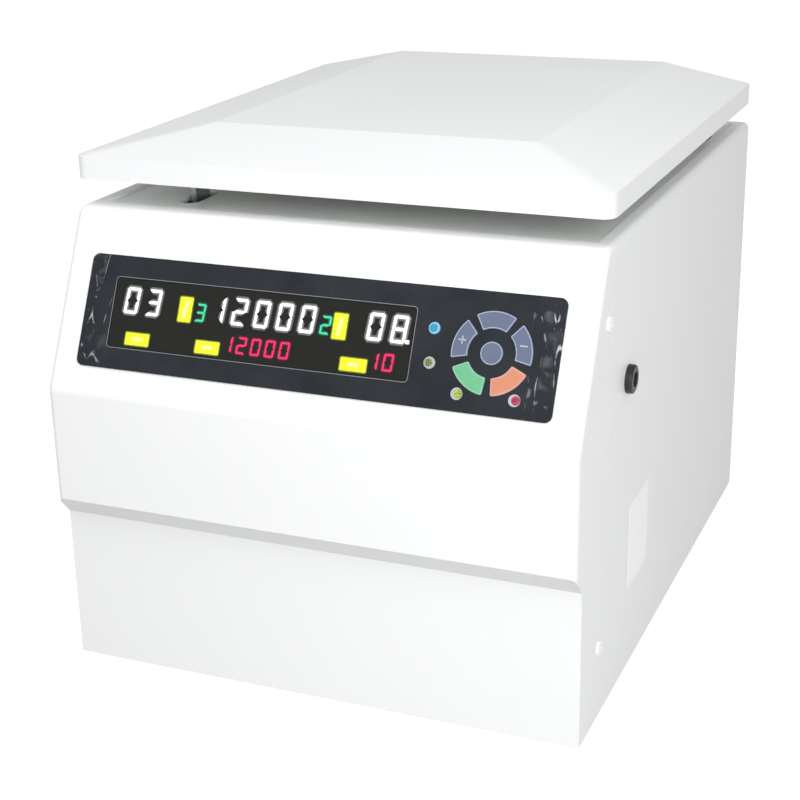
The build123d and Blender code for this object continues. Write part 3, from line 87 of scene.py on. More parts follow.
# Rows of figures, from the middle of the panel: the foot of each row, and each group's text and left edge,
# with its own foot for the green ones. The point follows the last white figure, and the halo's rings
# spread by these shares of a stroke.
MAIN_FOOT = -0.2 * MM
MAIN_GROUPS = (("03", -139.5 * MM), ("12000", -74.3 * MM), ("08", 39.9 * MM))
POINT_X = 68.5 * MM
POINT_HALF = 1.3 * MM
LOW_FOOT = -18.9 * MM
LOW_GROUPS = (("12000", -61.2 * MM), ("10", 43.4 * MM))
MIDDLE_GROUPS = (("3", -85.0 * MM, -0.5 * MM), ("2", 6.8 * MM, 0.3 * MM))
GREEN_LIGHT = (0.04, 0.56, 0.30)
RED_LIGHT = (0.80, 0.02, 0.12)
FIGURE_RELIEF = 0.06 * MM
HALO_SHARES = (0.80, 0.45, 0.20)

# Lit blocks, in millimetres from the middle of the panel: middle across, middle up, half width, half height
BLOCKS = (
    (-125.6, -17.2, 8.9, 4.1),
    (-72.1, -17.2, 8.7, 4.1),
    (34.0, -17.2, 9.1, 4.1),
    (-92.6, 6.6, 4.7, 8.3),
    (20.8, 6.6, 4.7, 8.3),
)
BLOCK_CORNER = 0.6

# Label on the right side: its middle behind the front and over the bench, and its half sizes
LABEL_BEHIND_FRONT = 152.6 * MM
LABEL_HEIGHT = 102.0 * MM
LABEL_HALF = (25.3 * MM, 31.6 * MM)
LABEL_THICKNESS = 0.15 * MM

# Lamps, as the place, the point it is turned to and the side of its square
RIGHT_LAMP = ((0.80, -1.25, 0.80), (0.1, -0.1, 0.25), 0.9)
TOP_LAMP = ((-0.20, -1.00, 1.90), (0.0, -0.1, 0.25), 1.0)

# Camera of the photograph: its place, a point on its line of sight, its roll in degrees and its lens
CAMERA_SPOT = Vector((0.45102, -1.14478, 0.60241))
CAMERA_TARGET = Vector((-0.02084, -0.02037, 0.15179))
CAMERA_ROLL = -1.162
CAMERA_LENS = 74.83
CAMERA_SENSOR = 36.0


def on_panel(x, y, z=0.0):
    """Point of the row frame for a place on the panel's face, in metres across, up the slope and out."""
    return PANEL_FACE + Vector((x, 0, 0)) + PANEL_UP * y + PANEL_OUT * z


class Wire:
    """An output socket of a node tree, on which plain arithmetic adds Math nodes."""

    def __init__(self, paint, socket):
        self.paint = paint
        self.socket = socket

    def _math(self, operation, *terms):
        return self.paint.node("ShaderNodeMath", {"operation": operation}, dict(enumerate(terms)))

    def __add__(self, other):
        return self._math("ADD", self, other)

    def __radd__(self, other):
        return self._math("ADD", other, self)

    def __sub__(self, other):
        return self._math("SUBTRACT", self, other)

    def __rsub__(self, other):
        return self._math("SUBTRACT", other, self)

    def __mul__(self, other):
        return self._math("MULTIPLY", self, other)

    def __rmul__(self, other):
        return self._math("MULTIPLY", other, self)

    def above(self, level):
        """One where the value is over the level, and zero elsewhere."""
        return self._math("GREATER_THAN", self, level)

    def off(self, level):
        """How far the value is from a level, to either side."""
        return self._math("ABSOLUTE", self - level)

    def between(self, zero, one):
        """Zero at one level, one at the other, even between them and held beyond them."""
        sockets = {"Value": self, "From Min": zero, "From Max": one}
        return self.paint.node("ShaderNodeMapRange", {"clamp": True}, sockets)

    def beside(self, name):
        """Another output of the same node."""
        return Wire(self.paint, self.socket.node.outputs[name])


class Tree:
    """A node tree under construction, with the one way in which nodes join it."""

    def __init__(self, tree):
        self.tree = tree

    def node(self, kind, settings=None, sockets=None, out=0):
        """Adds a node, with its settings first and then its sockets, and returns an output, if it has one."""
        made = self.tree.nodes.new(kind)
        for key, value in (settings or {}).items():
            setattr(made, key, value)
        for key, value in (sockets or {}).items():
            if isinstance(value, Wire):
                self.tree.links.new(value.socket, made.inputs[key])
            else:
                made.inputs[key].default_value = value
        return Wire(self, made.outputs[out]) if made.outputs else None


class Paint(Tree):
    """A material round a Principled shader, and the patterns that its finishes share."""

    def __init__(self, name, roughness, metallic=0.0, coat=0.0, specular=0.5):
        self.material = bpy.data.materials.new(name)
        self.material.use_nodes = True
        super().__init__(self.material.node_tree)
        self.shader = self.tree.nodes["Principled BSDF"]
        self.shader.inputs["Roughness"].default_value = roughness
        self.shader.inputs["Metallic"].default_value = metallic
        self.shader.inputs["Coat Weight"].default_value = coat
        self.shader.inputs["Specular IOR Level"].default_value = specular

    def feed(self, name, wire):
        """Links a value that changes over the surface to one of the shader's own sockets."""
        self.tree.links.new(wire.socket, self.shader.inputs[name])

    def place(self):
        """Where the surface is in its own frame, in metres."""
        return self.node("ShaderNodeTexCoord", out="Object")

    def stretched(self, factors):
        """The place with each axis multiplied."""
        sockets = {0: self.place(), 1: factors}
        return self.node("ShaderNodeVectorMath", {"operation": "MULTIPLY"}, sockets)

    def grain(self, size, detail=2.0, rough=0.5, stretch=(1.0, 1.0, 1.0)):
        """Noise from 0 to 1 whose lumps are about this size, in metres."""
        sockets = {
            "Vector": self.stretched(stretch),
            "Scale": 1.0 / size,
            "Detail": detail,
            "Roughness": rough,
        }
        return self.node("ShaderNodeTexNoise", sockets=sockets)

    def blend(self, share, first, second):
        """Colour between two colours by a share that changes over the surface."""
        sockets = {0: share, 6: first, 7: second}
        return self.node("ShaderNodeMix", {"data_type": "RGBA"}, sockets, out=2)

    def relief(self, height, depth):
        """Bump of this depth in metres from a height between 0 and 1."""
        sockets = {"Height": height, "Distance": depth, "Strength": 1.0}
        self.feed("Normal", self.node("ShaderNodeBump", sockets=sockets))

    def wander(self, colour, share, spread):
        """Colour that wanders by a small share to either side of the given one."""
        low = (*[c * (1.0 - spread) for c in colour], 1.0)
        high = (*[min(1.0, c * (1.0 + spread)) for c in colour], 1.0)
        return self.blend(share, low, high)

    def tone(self, colour, share, spread):
        """Feeds the base colour with one that wanders a little."""
        self.feed("Base Color", self.wander(colour, share, spread))


def powder_coat(name, colour, grain=0.9 * MM, depth=0.03 * MM, roughness=0.42, spread=0.012):
    """Sprayed and baked paint with a fine orange-peel skin and slightly uneven gloss."""
    paint = Paint(name, roughness)
    peel = paint.grain(grain, detail=1.0)
    cloud = paint.grain(60 * MM, detail=3.0)
    paint.tone(colour, cloud, spread)
    paint.feed("Roughness", roughness + 0.10 * (cloud - 0.5) + 0.06 * (peel - 0.5))
    paint.relief(peel, depth)
    return paint.material


def worked_steel(name, colour, roughness, stretch=(1.0, 14.0, 1.0), size=3.0 * MM, depth=0.01 * MM):
    """Bare metal with drawn or ground streaks along one axis and faint handling marks."""
    paint = Paint(name, roughness, metallic=1.0)
    streak = paint.grain(size, detail=4.0, rough=0.65, stretch=stretch)
    cloud = paint.grain(18 * MM, detail=3.0)
    paint.tone(colour, streak * 0.7 + cloud * 0.3, 0.10)
    paint.feed("Roughness", roughness + 0.22 * (streak - 0.5) + 0.16 * (cloud - 0.5))
    paint.relief(streak, depth)
    return paint.material


def spun_steel(name, colour, roughness):
    """Sheet spun round the chamber's axis, so that its fine rings run round it."""
    paint = Paint(name, roughness, metallic=1.0)
    shift = {0: paint.place(), 1: (0.0, CHAMBER_Y, 0.0)}
    about = paint.node("ShaderNodeVectorMath", {"operation": "SUBTRACT"}, shift)
    split = paint.node("ShaderNodeSeparateXYZ", sockets={0: about})
    height = split.beside("Z")
    flat = paint.node("ShaderNodeVectorMath", {"operation": "MULTIPLY"}, {0: about, 1: (1.0, 1.0, 0.0)})
    radius = paint.node("ShaderNodeVectorMath", {"operation": "LENGTH"}, {0: flat}, out=1)
    rings = paint.node("ShaderNodeTexNoise", {"noise_dimensions": "1D"}, {
        "W": (radius + height) * 900.0,
        "Scale": 1.0,
        "Detail": 3.0,
    })
    cloud = paint.grain(30 * MM, detail=3.0)
    paint.tone(colour, rings * 0.6 + cloud * 0.4, 0.09)
    paint.feed("Roughness", roughness + 0.20 * (rings - 0.5) + 0.12 * (cloud - 0.5))
    paint.relief(rings, 0.012 * MM)
    return paint.material


def moulded(name, colour, roughness, grain=0.6 * MM, depth=0.02 * MM, spread=0.06, coat=0.0):
    """Moulded plastic or rubber with a fine spark-eroded grain."""
    paint = Paint(name, roughness, coat=coat)
    pits = paint.grain(grain, detail=2.0)
    cloud = paint.grain(22 * MM, detail=2.0)
    paint.tone(colour, cloud, spread)
    paint.feed("Roughness", roughness + 0.12 * (pits - 0.5) + 0.08 * (cloud - 0.5))
    paint.relief(pits, depth)
    return paint.material


def cast_iron(name, colour):
    """Enamelled casting with a lumpy skin."""
    paint = Paint(name, 0.45)
    lumps = paint.grain(2.4 * MM, detail=4.0, rough=0.6)
    paint.tone(colour, lumps, 0.2)
    paint.feed("Roughness", 0.40 + 0.2 * (lumps - 0.5))
    paint.relief(lumps, 0.15 * MM)
    return paint.material


def circuit_board(name, colour):
    """Solder mask with lighter copper tracks under it."""
    paint = Paint(name, 0.35)
    sockets = {
        "Vector": paint.stretched((1.0, 1.0, 0.2)),
        "Scale": 260.0,
        "Mortar Size": 0.06,
        "Color1": (1.0, 1.0, 1.0, 1.0),
        "Color2": (0.8, 0.8, 0.8, 1.0),
        "Mortar": (0.0, 0.0, 0.0, 1.0),
    }
    tracks = paint.node("ShaderNodeTexBrick", sockets=sockets, out=1)
    dark = (*colour, 1.0)
    light = (*[min(1.0, 1.7 * c + 0.02) for c in colour], 1.0)
    paint.feed("Base Color", paint.blend(tracks, dark, light))
    paint.relief(tracks, 0.03 * MM)
    return paint.material


def panel_film(name, colour, roughness):
    """Printed film: nearly black and satin, with faint wipe marks and dust."""
    paint = Paint(name, roughness, specular=0.25)
    wipe = paint.grain(14 * MM, detail=4.0, rough=0.7, stretch=(0.5, 1.4, 1.4))
    dust = paint.grain(0.5 * MM, detail=1.0).above(0.76)
    paint.tone(colour, wipe, 0.25)
    paint.feed("Roughness", roughness + 0.08 * (wipe - 0.5) + 0.10 * dust)
    paint.relief(wipe, 0.03 * MM)
    return paint.material


def creased_film(name, colour, roughness, half, reach):
    """Panel film under a clear sheet whose loose ends crease towards both ends of the panel; pale streaks
    along the creases and pale spots of bubbles are painted glints of the sheet, laid into the base colour.
    """
    paint = Paint(name, roughness, specular=0.25)
    split = paint.node("ShaderNodeSeparateXYZ", sockets={0: paint.place()})
    end = split.off(0.0).between(half - reach, half - 0.35 * reach)
    edge = split.off(0.0).between(half - 0.4 * reach, half)
    folds = paint.grain(26 * MM, detail=1.5, rough=0.4, stretch=(2.2, 0.6, 0.6))
    gaps = paint.grain(9 * MM, detail=2.0).between(0.50, 0.64)
    # Painted glints: thin lines on the fold crests, broad sheen on the folds and bubble spots at the very
    # ends, all paler than the film
    crease_glint = folds.off(0.5).between(0.018, 0.003) * gaps
    bubble_glints = paint.grain(1.4 * MM, detail=2.0).between(0.70, 0.74)
    haze = paint.grain(26 * MM, detail=2.0)
    painted_sheen = folds.between(0.50, 0.72) * gaps * 0.2
    mark = (crease_glint + painted_sheen) * end + bubble_glints * edge * 0.7
    ground = paint.wander(colour, haze, 0.45)
    # The painted glints lighten the base colour towards pale grey near both ends
    paint.feed("Base Color", paint.blend(mark.between(0.0, 1.0), ground, (0.50, 0.52, 0.55, 1.0)))
    paint.feed("Roughness", roughness + 0.18 * (haze - 0.5) + 0.10 * mark)
    paint.relief(folds * end + 0.2 * haze, 0.25 * MM)
    return paint.material


def key_film(name, colour):
    """Satin film over a key, with a fine matt grain and a slightly worn middle."""
    paint = Paint(name, 0.38, coat=0.15)
    pits = paint.grain(0.35 * MM, detail=1.0)
    wear = paint.grain(7 * MM, detail=3.0)
    paint.tone(colour, wear, 0.08)
    paint.feed("Roughness", 0.38 + 0.12 * (wear - 0.5) + 0.06 * (pits - 0.5))
    paint.relief(pits, 0.012 * MM)
    return paint.material


def glowing(name, colour, strength, base=0.5):
    """Light that shines through a segment or a printed block, a little uneven over its face."""
    paint = Paint(name, 0.3)
    cells = paint.grain(2.2 * MM, detail=2.0)
    low = (*[c * 0.86 for c in colour], 1.0)
    high = (*colour, 1.0)
    paint.feed("Emission Color", paint.blend(cells, low, high))
    dull = (*[c * base * 0.9 for c in colour], 1.0)
    bright = (*[c * base for c in colour], 1.0)
    paint.feed("Base Color", paint.blend(cells, dull, bright))
    paint.shader.inputs["Emission Strength"].default_value = strength
    return paint.material


def lamp_lens(name, colour, strength):
    """Small clear lens with a facetted underside whose light and dark cells are painted light and shade, in
    the base colour and in its glow.
    """
    paint = Paint(name, 0.12, coat=0.6)
    sockets = {"Vector": paint.place(), "Scale": 900.0}
    cells = paint.node("ShaderNodeTexVoronoi", sockets=sockets)
    bright = (*colour, 1.0)
    facet_shade = (*[c * 0.15 for c in colour], 1.0)
    # Cells of painted light and shade from the facets, in the base colour and in the glow
    paint.feed("Base Color", paint.blend(cells, bright, facet_shade))
    paint.feed("Emission Color", paint.blend(cells, bright, facet_shade))
    paint.shader.inputs["Emission Strength"].default_value = strength
    paint.relief(cells, 0.1 * MM)
    return paint.material


def halo_light(name, colour, alpha):
    """Faint light that spreads under the window round the lit figures."""
    paint = Paint(name, 0.3)
    cells = paint.grain(4.0 * MM, detail=1.0)
    paint.tone(colour, cells, 0.1)
    paint.feed("Emission Color", paint.wander(colour, cells, 0.1))
    paint.feed("Alpha", alpha * (0.8 + 0.4 * cells))
    paint.shader.inputs["Emission Strength"].default_value = 0.6
    return paint.material


def make_piece(name, mesh_maker, material, body="root"):
    """New mesh piece in the row frame that rides on a body and takes one material."""
    shape = bmesh.new()
    mesh_maker(shape)
    if not shape.faces:
        raise RuntimeError(f"{name} came out empty")
    bmesh.ops.recalc_face_normals(shape, faces=shape.faces)
    mesh = bpy.data.meshes.new(name)
    shape.to_mesh(mesh)
    shape.free()
    mesh.materials.append(material)
    piece = bpy.data.objects.new(name, mesh)
    bpy.context.scene.collection.objects.link(piece)
    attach(piece, body)
    return piece


def prism(shape, outline, low, high, inset=0.0, to_frame=on_panel):
    """Closed prism over an outline given on a plane, its upper face drawn in by the inset."""
    centre = Vector((sum(p[0] for p in outline), sum(p[1] for p in outline))) / len(outline)
    foot = [shape.verts.new(to_frame(x, y, low)) for x, y in outline]
    head = []
    for x, y in outline:
        toward = centre - Vector((x, y))
        step = toward.normalized() * inset if toward.length > inset else Vector((0, 0))
        head.append(shape.verts.new(to_frame(x + step.x, y + step.y, high)))
    shape.faces.new(foot)
    shape.faces.new(head)
    for i in range(len(outline)):
        j = (i + 1) % len(outline)
        shape.faces.new((foot[i], foot[j], head[j], head[i]))


def band(shape, inner, outer, low, high, to_frame=on_panel):
    """Closed flat band between two outlines with as many points."""
    rings = [
        [shape.verts.new(to_frame(x, y, z)) for x, y in outline]
        for outline, z in ((inner, low), (outer, low), (outer, high), (inner, high))
    ]
    for ring, following in zip(rings, rings[1:] + rings[:1]):
        for i in range(len(inner)):
            j = (i + 1) % len(inner)
            shape.faces.new((ring[i], ring[j], following[j], following[i]))


def rounded_outline(x, y, half_x, half_y, radius, steps=6):
    """Points round a rectangle with rounded corners."""
    points = []
    for quarter, (sx, sy) in enumerate(((1, 1), (-1, 1), (-1, -1), (1, -1))):
        for step in range(steps + 1):
            turn = math.radians(90 * quarter + 90 * step / steps)
            points.append((
                x + sx * (half_x - radius) + radius * math.cos(turn),
                y + sy * (half_y - radius) + radius * math.sin(turn),
            ))
    return points


def circle_outline(x, y, radius, steps=48):
    """Points round a circle."""
    turns = [2 * math.pi * step / steps for step in range(steps)]
    return [(x + radius * math.cos(turn), y + radius * math.sin(turn)) for turn in turns]


def local_box(name):
    """Centre and half sizes of a node on the panel, across and up the slope."""
    points = [Vector(v.co) - PANEL_FACE for v in NODES[name].data.vertices]
    across = [p.x for p in points]
    up = [p.dot(PANEL_UP) for p in points]
    centre = ((min(across) + max(across)) / 2, (min(up) + max(up)) / 2)
    return centre, ((max(across) - min(across)) / 2, (max(up) - min(up)) / 2)


def ring_outline(centre, turn, inset, steps=14):
    """Outline of one key of the ring, drawn in by the inset."""
    points = []
    for radius, way in ((RING_OUTER - inset, 1), (RING_INNER + inset, -1)):
        reach = math.radians(RING_KEY_SPAN / 2) - math.asin(inset / radius)
        for step in range(steps + 1):
            angle = math.radians(turn) + way * reach * (2 * step / steps - 1)
            points.append((centre[0] + radius * math.cos(angle), centre[1] + radius * math.sin(angle)))
    return points


FIGURES = {"0": "abcdef", "1": "bc", "2": "abged", "3": "abgcd", "8": "abcdefg"}


def segments(width, height, stroke, gap):
    """Outlines of the seven segments of a figure, mitred and cut at its corners and pointed at its middle."""
    half, middle = stroke / 2, height / 2
    right, top = width - stroke, height - stroke
    low, high = middle - half - gap, middle + half + gap
    cut, nip = 0.5 * stroke, 0.25 * stroke
    return {
        "a": [(cut, height), (width - cut, height), (width - nip - gap, height - nip), (right - gap, top),
              (stroke + gap, top), (nip + gap, height - nip)],
        "b": [(width, height - cut), (width, middle + gap), (width - half, middle + gap), (right, high),
              (right, top - gap), (width - nip, height - nip - gap)],
        "c": [(width, cut), (width - nip, nip + gap), (right, stroke + gap), (right, low),
              (width - half, middle - gap), (width, middle - gap)],
        "d": [(cut, 0), (nip + gap, nip), (stroke + gap, stroke), (right - gap, stroke),
              (width - nip - gap, nip), (width - cut, 0)],
        "e": [(0, cut), (0, middle - gap), (half, middle - gap), (stroke, low), (stroke, stroke + gap),
              (nip, nip + gap)],
        "f": [(0, height - cut), (nip, height - nip - gap), (stroke, top - gap), (stroke, high),
              (half, middle + gap), (0, middle + gap)],
        "g": [(half + gap, middle), (stroke + gap, middle + half), (right - gap, middle + half),
              (width - half - gap, middle), (right - gap, middle - half), (stroke + gap, middle - half)],
    }


def figure(shape, character, x, y, width, height, stroke, lean, spread=0.0, rise=0.0):
    """One seven-segment figure, leaning to the right, in low relief on the window."""
    gap = 0.0 if spread else 0.07 * stroke
    outlines = segments(width + 2 * spread, height + 2 * spread, stroke + 2 * spread, gap)
    for name in FIGURES[character]:
        leant = [(x - spread + px + lean * (py - spread), y - spread + py) for px, py in outlines[name]]
        prism(shape, leant, WINDOW_FACE + rise, WINDOW_FACE + rise + FIGURE_RELIEF, inset=0.04 * stroke)


def figures(shape, text, x, y, width, height, pitch, stroke, lean, spread=0.0, rise=0.0):
    """A row of figures at an even pitch."""
    for place, character in enumerate(text):
        figure(shape, character, x + place * pitch, y, width, height, stroke, lean, spread, rise)


class DisplaySizes(bpy.types.PropertyGroup):
    """Sizes of the figures and blocks on the display."""

    tall: bpy.props.FloatProperty(
        name="Main figure height", description="Height of the white figures",
        default=18.0 * MM, unit="LENGTH",
    )
    wide: bpy.props.FloatProperty(
        name="Main figure width", description="Width of the white figures without their lean",
        default=10.2 * MM, unit="LENGTH",
    )
    pitch: bpy.props.FloatProperty(
        name="Main figure pitch", description="Distance from one white figure to the next",
        default=16.5 * MM, unit="LENGTH",
    )
    stroke: bpy.props.FloatProperty(
        name="Main stroke", description="Width of a white segment",
        default=2.0 * MM, unit="LENGTH",
    )
    lean: bpy.props.FloatProperty(
        name="Lean", description="Shift to the right for each unit of height",
        default=0.06, subtype="FACTOR",
    )
    line: bpy.props.FloatProperty(
        name="Printed line", description="Width of the printed outlines on the panel",
        default=0.45 * MM, unit="LENGTH",
    )


class FinishColours(bpy.types.PropertyGroup):
    """Colours of the paints and films."""

    body: bpy.props.FloatVectorProperty(
        name="Body paint", description="Paint of the covers",
        default=(0.86, 0.865, 0.87), subtype="COLOR",
    )
    lid: bpy.props.FloatVectorProperty(
        name="Lid paint", description="Paint of the lid",
        default=(0.86, 0.868, 0.875), subtype="COLOR",
    )
    deck: bpy.props.FloatVectorProperty(
        name="Deck paint", description="Paint of the sunken deck",
        default=(0.80, 0.82, 0.78), subtype="COLOR",
    )
    film: bpy.props.FloatVectorProperty(
        name="Panel film", description="Dark ground of the panel",
        default=(0.019, 0.022, 0.027), subtype="COLOR",
    )
    keys: bpy.props.FloatVectorProperty(
        name="Grey keys", description="Film of the plain keys",
        default=(0.112, 0.138, 0.215), subtype="COLOR",
    )
    figures: bpy.props.FloatVectorProperty(
        name="White figures", description="Light of the main figures",
        default=(0.95, 0.97, 1.0), subtype="COLOR",
    )


class StageSizes(bpy.types.PropertyGroup):
    """Strengths of the lights and size of the floor."""

    floor: bpy.props.FloatProperty(
        name="Floor", description="Half the length of the floor's side",
        default=6.0, unit="LENGTH",
    )
    around: bpy.props.FloatProperty(
        name="Sky light", description="Strength of the even light from all round",
        default=0.57,
    )
    key: bpy.props.FloatProperty(
        name="Right lamp", description="Power of the soft lamp over the camera's right",
        default=14.6, unit="POWER",
    )
    fill: bpy.props.FloatProperty(
        name="Top lamp", description="Power of the soft lamp high over the front",
        default=11.4, unit="POWER",
    )
    glow: bpy.props.FloatProperty(
        name="Floor glow", description="Light that the floor adds where the camera sees it",
        default=0.8,
    )


def repaint(nodes, material):
    """Gives nodes of the frame one material."""
    for name in nodes:
        mesh = NODES[name].data
        mesh.materials.clear()
        mesh.materials.append(material)


class CENTRIFUGE_OT_housing(bpy.types.Operator):
    """Paint the covers, lid, liner, rear panel and deck"""

    bl_idname = "centrifuge.housing"
    bl_label = "Housing paint"

    def execute(self, context):
        colours = context.scene.centrifuge_colours
        body = powder_coat("body_paint", colours.body)
        repaint(["front_cover", "main_cover", "rear_panel"], body)
        screw = powder_coat("screw_paint", (0.90, 0.90, 0.90), grain=0.5 * MM, roughness=0.3)
        repaint(["cover_screws"], screw)
        lid = powder_coat("lid_paint", colours.lid, roughness=0.36)
        repaint(["lid_shell"], lid)
        repaint(["lid_liner"], powder_coat("liner_paint", colours.lid, grain=1.4 * MM, roughness=0.48))
        repaint(["deck_plate"], powder_coat("deck_paint", colours.deck, roughness=0.32))
        primer = powder_coat("primer", (0.20, 0.21, 0.23), grain=1.6 * MM, roughness=0.6, spread=0.1)
        repaint(["guard_ring"], primer)
        return {"FINISHED"}


class CENTRIFUGE_OT_metal(bpy.types.Operator):
    """Finish the bare steel and aluminium pieces"""

    bl_idname = "centrifuge.metal"
    bl_label = "Bare metal"

    def execute(self, context):
        sheet_steel = worked_steel("zinc_sheet", (0.60, 0.61, 0.63), 0.36, stretch=(1.0, 1.0, 6.0))
        repaint(
            ["base_plate", "motor_plate", "hinge_bases", "hinge_leaves", "strut_anchors", "strut_brackets",
             "lid_striker", "lock_frame", "lock_pawl"],
            sheet_steel,
        )
        repaint(["fan_guard"], worked_steel("bright_wire", (0.72, 0.73, 0.75), 0.24, size=1.0 * MM))
        lengthwise = (6.0, 1.0, 1.0)
        ground = worked_steel("ground_steel", (0.70, 0.71, 0.73), 0.22, lengthwise, size=1.2 * MM)
        repaint(
            ["motor_shaft", "rotor_nut", "hinge_pins", "release_spindle", "lock_plunger",
             "strut_rod_left", "strut_rod_right"],
            ground,
        )
        repaint(["chamber_bowl"], spun_steel("spun_bowl", (0.66, 0.67, 0.69), 0.30))
        alloy = worked_steel("turned_alloy", (0.74, 0.75, 0.77), 0.34, stretch=(1.0, 1.0, 9.0), size=2.0 * MM)
        repaint(["rotor_head", *[f"bucket_{index}" for index in range(1, 5)]], alloy)
        extruded = worked_steel("extruded_alloy", (0.60, 0.61, 0.62), 0.45, stretch=(9.0, 1.0, 9.0))
        repaint(["motor_drive"], extruded)
        repaint(["motor_body"], cast_iron("motor_enamel", (0.03, 0.033, 0.036)))
        strut = powder_coat("strut_paint", (0.012, 0.012, 0.014), roughness=0.25, spread=0.1)
        repaint(["strut_cylinder_left", "strut_cylinder_right"], strut)
        return {"FINISHED"}


class CENTRIFUGE_OT_plastic(bpy.types.Operator):
    """Finish the rubber and moulded plastic pieces"""

    bl_idname = "centrifuge.plastic"
    bl_label = "Rubber and plastic"

    def execute(self, context):
        rubber = moulded("foot_rubber", (0.018, 0.018, 0.02), 0.78, grain=0.8 * MM, depth=0.05 * MM)
        repaint(["feet", "motor_mounts"], rubber)
        seal = moulded("seal_rubber", (0.016, 0.016, 0.018), 0.6, grain=0.5 * MM, depth=0.03 * MM)
        repaint(["chamber_seal", "motor_boot"], seal)
        black = moulded("black_plastic", (0.012, 0.012, 0.013), 0.45)
        repaint(["release_bushing", "lock_solenoid", "fan_frame", "power_inlet", "power_switch"], black)
        repaint(["fan_rotor"], moulded("fan_plastic", (0.02, 0.02, 0.022), 0.4))
        repaint(["switch_rocker"], moulded("rocker_plastic", (0.55, 0.02, 0.02), 0.25, coat=0.4))
        repaint(["display_board", "control_board"], circuit_board("solder_mask", (0.02, 0.13, 0.06)))
        return {"FINISHED"}


class CENTRIFUGE_OT_panel(bpy.types.Operator):
    """Finish the overlay, window, keys and lamps"""

    bl_idname = "centrifuge.panel"
    bl_label = "Panel and keys"

    def execute(self, context):
        colours = context.scene.centrifuge_colours
        half = (OVERLAY_HIGH.x - OVERLAY_LOW.x) / 2
        repaint(["panel_overlay"], creased_film("overlay_film", colours.film, 0.24, half, 24.0 * MM))
        repaint(["display_window"], panel_film("window_film", (0.014, 0.014, 0.012), 0.16))
        grey = key_film("key_grey_film", colours.keys)
        repaint(["key_select", "key_increase", "key_decrease", "key_enter"], grey)
        for name, tint in KEY_TINTS.items():
            repaint([name], key_film(f"{name}_film", tint))
        repaint(["lamp_lens_green"], lamp_lens("green_lens", (0.55, 0.66, 0.05), 0.25))
        repaint(["lamp_lens_red"], lamp_lens("red_lens", (0.55, 0.05, 0.12), 0.25))
        return {"FINISHED"}


class CENTRIFUGE_OT_digits(bpy.types.Operator):
    """Build the lit figures of the display"""

    bl_idname = "centrifuge.digits"
    bl_label = "Display figures"

    def execute(self, context):
        sizes = context.scene.centrifuge_display
        colours = context.scene.centrifuge_colours
        main = (sizes.wide, sizes.tall, sizes.pitch, sizes.stroke, sizes.lean)
        middle = (7.0 * MM, 12.0 * MM, 8.0 * MM, 1.3 * MM, sizes.lean)
        small = (6.8 * MM, 11.2 * MM, 10.4 * MM, 1.2 * MM, sizes.lean)
        rows = {
            "white": [(text, x, MAIN_FOOT, main) for text, x in MAIN_GROUPS],
            "green": [(text, x, foot, middle) for text, x, foot in MIDDLE_GROUPS],
            "red": [(text, x, LOW_FOOT, small) for text, x in LOW_GROUPS],
        }
        lights = {"white": colours.figures, "green": GREEN_LIGHT, "red": RED_LIGHT}

        for word, groups in rows.items():
            def lit(shape, groups=groups, word=word):
                for text, x, y, size in groups:
                    figures(shape, text, x, y, *size)
                if word == "white":
                    dot = rounded_outline(POINT_X, MAIN_FOOT + 1.4 * MM, POINT_HALF, POINT_HALF, 0.4 * MM)
                    prism(shape, dot, WINDOW_FACE, WINDOW_FACE + FIGURE_RELIEF, inset=0.1 * MM)

            def halo(shape, groups=groups):
                for text, x, y, size in groups:
                    for share in HALO_SHARES:
                        rise = -(0.015 + 0.04 * share) * MM
                        figures(shape, text, x, y, *size, spread=share * size[3], rise=rise)

            make_piece(f"figures_{word}", lit, glowing(f"{word}_light", lights[word], 1.0))
            make_piece(f"halo_{word}", halo, halo_light(f"{word}_halo", lights[word], 0.075))
        return {"FINISHED"}


class CENTRIFUGE_OT_blocks(bpy.types.Operator):
    """Build the lit yellow blocks of the display with a paler bar on each"""

    bl_idname = "centrifuge.blocks"
    bl_label = "Display blocks"

    def execute(self, context):
        def blocks(shape):
            for x, y, half_x, half_y in BLOCKS:
                outline = rounded_outline(x * MM, y * MM, half_x * MM, half_y * MM, BLOCK_CORNER * MM)
                prism(shape, outline, WINDOW_FACE, WINDOW_FACE + FIGURE_RELIEF, inset=0.15 * MM)

        def bars(shape):
            low, high = WINDOW_FACE + FIGURE_RELIEF, WINDOW_FACE + FIGURE_RELIEF + 0.02 * MM
            for x, y, half_x, half_y in BLOCKS:
                if half_x > half_y:
                    outline = rounded_outline(x * MM, y * MM, 0.42 * half_x * MM, 1.2 * MM, 0.8 * MM)
                else:
                    leant = [(-2.4, -6.0), (0.2, -6.0), (2.4, 6.0), (-0.2, 6.0)]
                    outline = [((x + px) * MM, (y + py) * MM) for px, py in leant]
                prism(shape, outline, low, high)

        def halo(shape):
            for x, y, half_x, half_y in BLOCKS:
                for wide, rise in ((0.9, -0.04), (0.45, -0.03)):
                    sizes = (half_x + wide, half_y + wide, BLOCK_CORNER + wide)
                    outline = rounded_outline(x * MM, y * MM, *[size * MM for size in sizes])
                    low = WINDOW_FACE + rise * MM
                    prism(shape, outline, low, low + FIGURE_RELIEF)

        make_piece("blocks_halo", halo, halo_light("yellow_halo", (0.45, 0.60, 0.02), 0.22))
        make_piece("blocks_yellow", blocks, glowing("yellow_light", (0.80, 0.92, 0.02), 0.95))
        make_piece("block_bars", bars, glowing("pale_light", (0.93, 0.98, 0.30), 1.0))
        return {"FINISHED"}


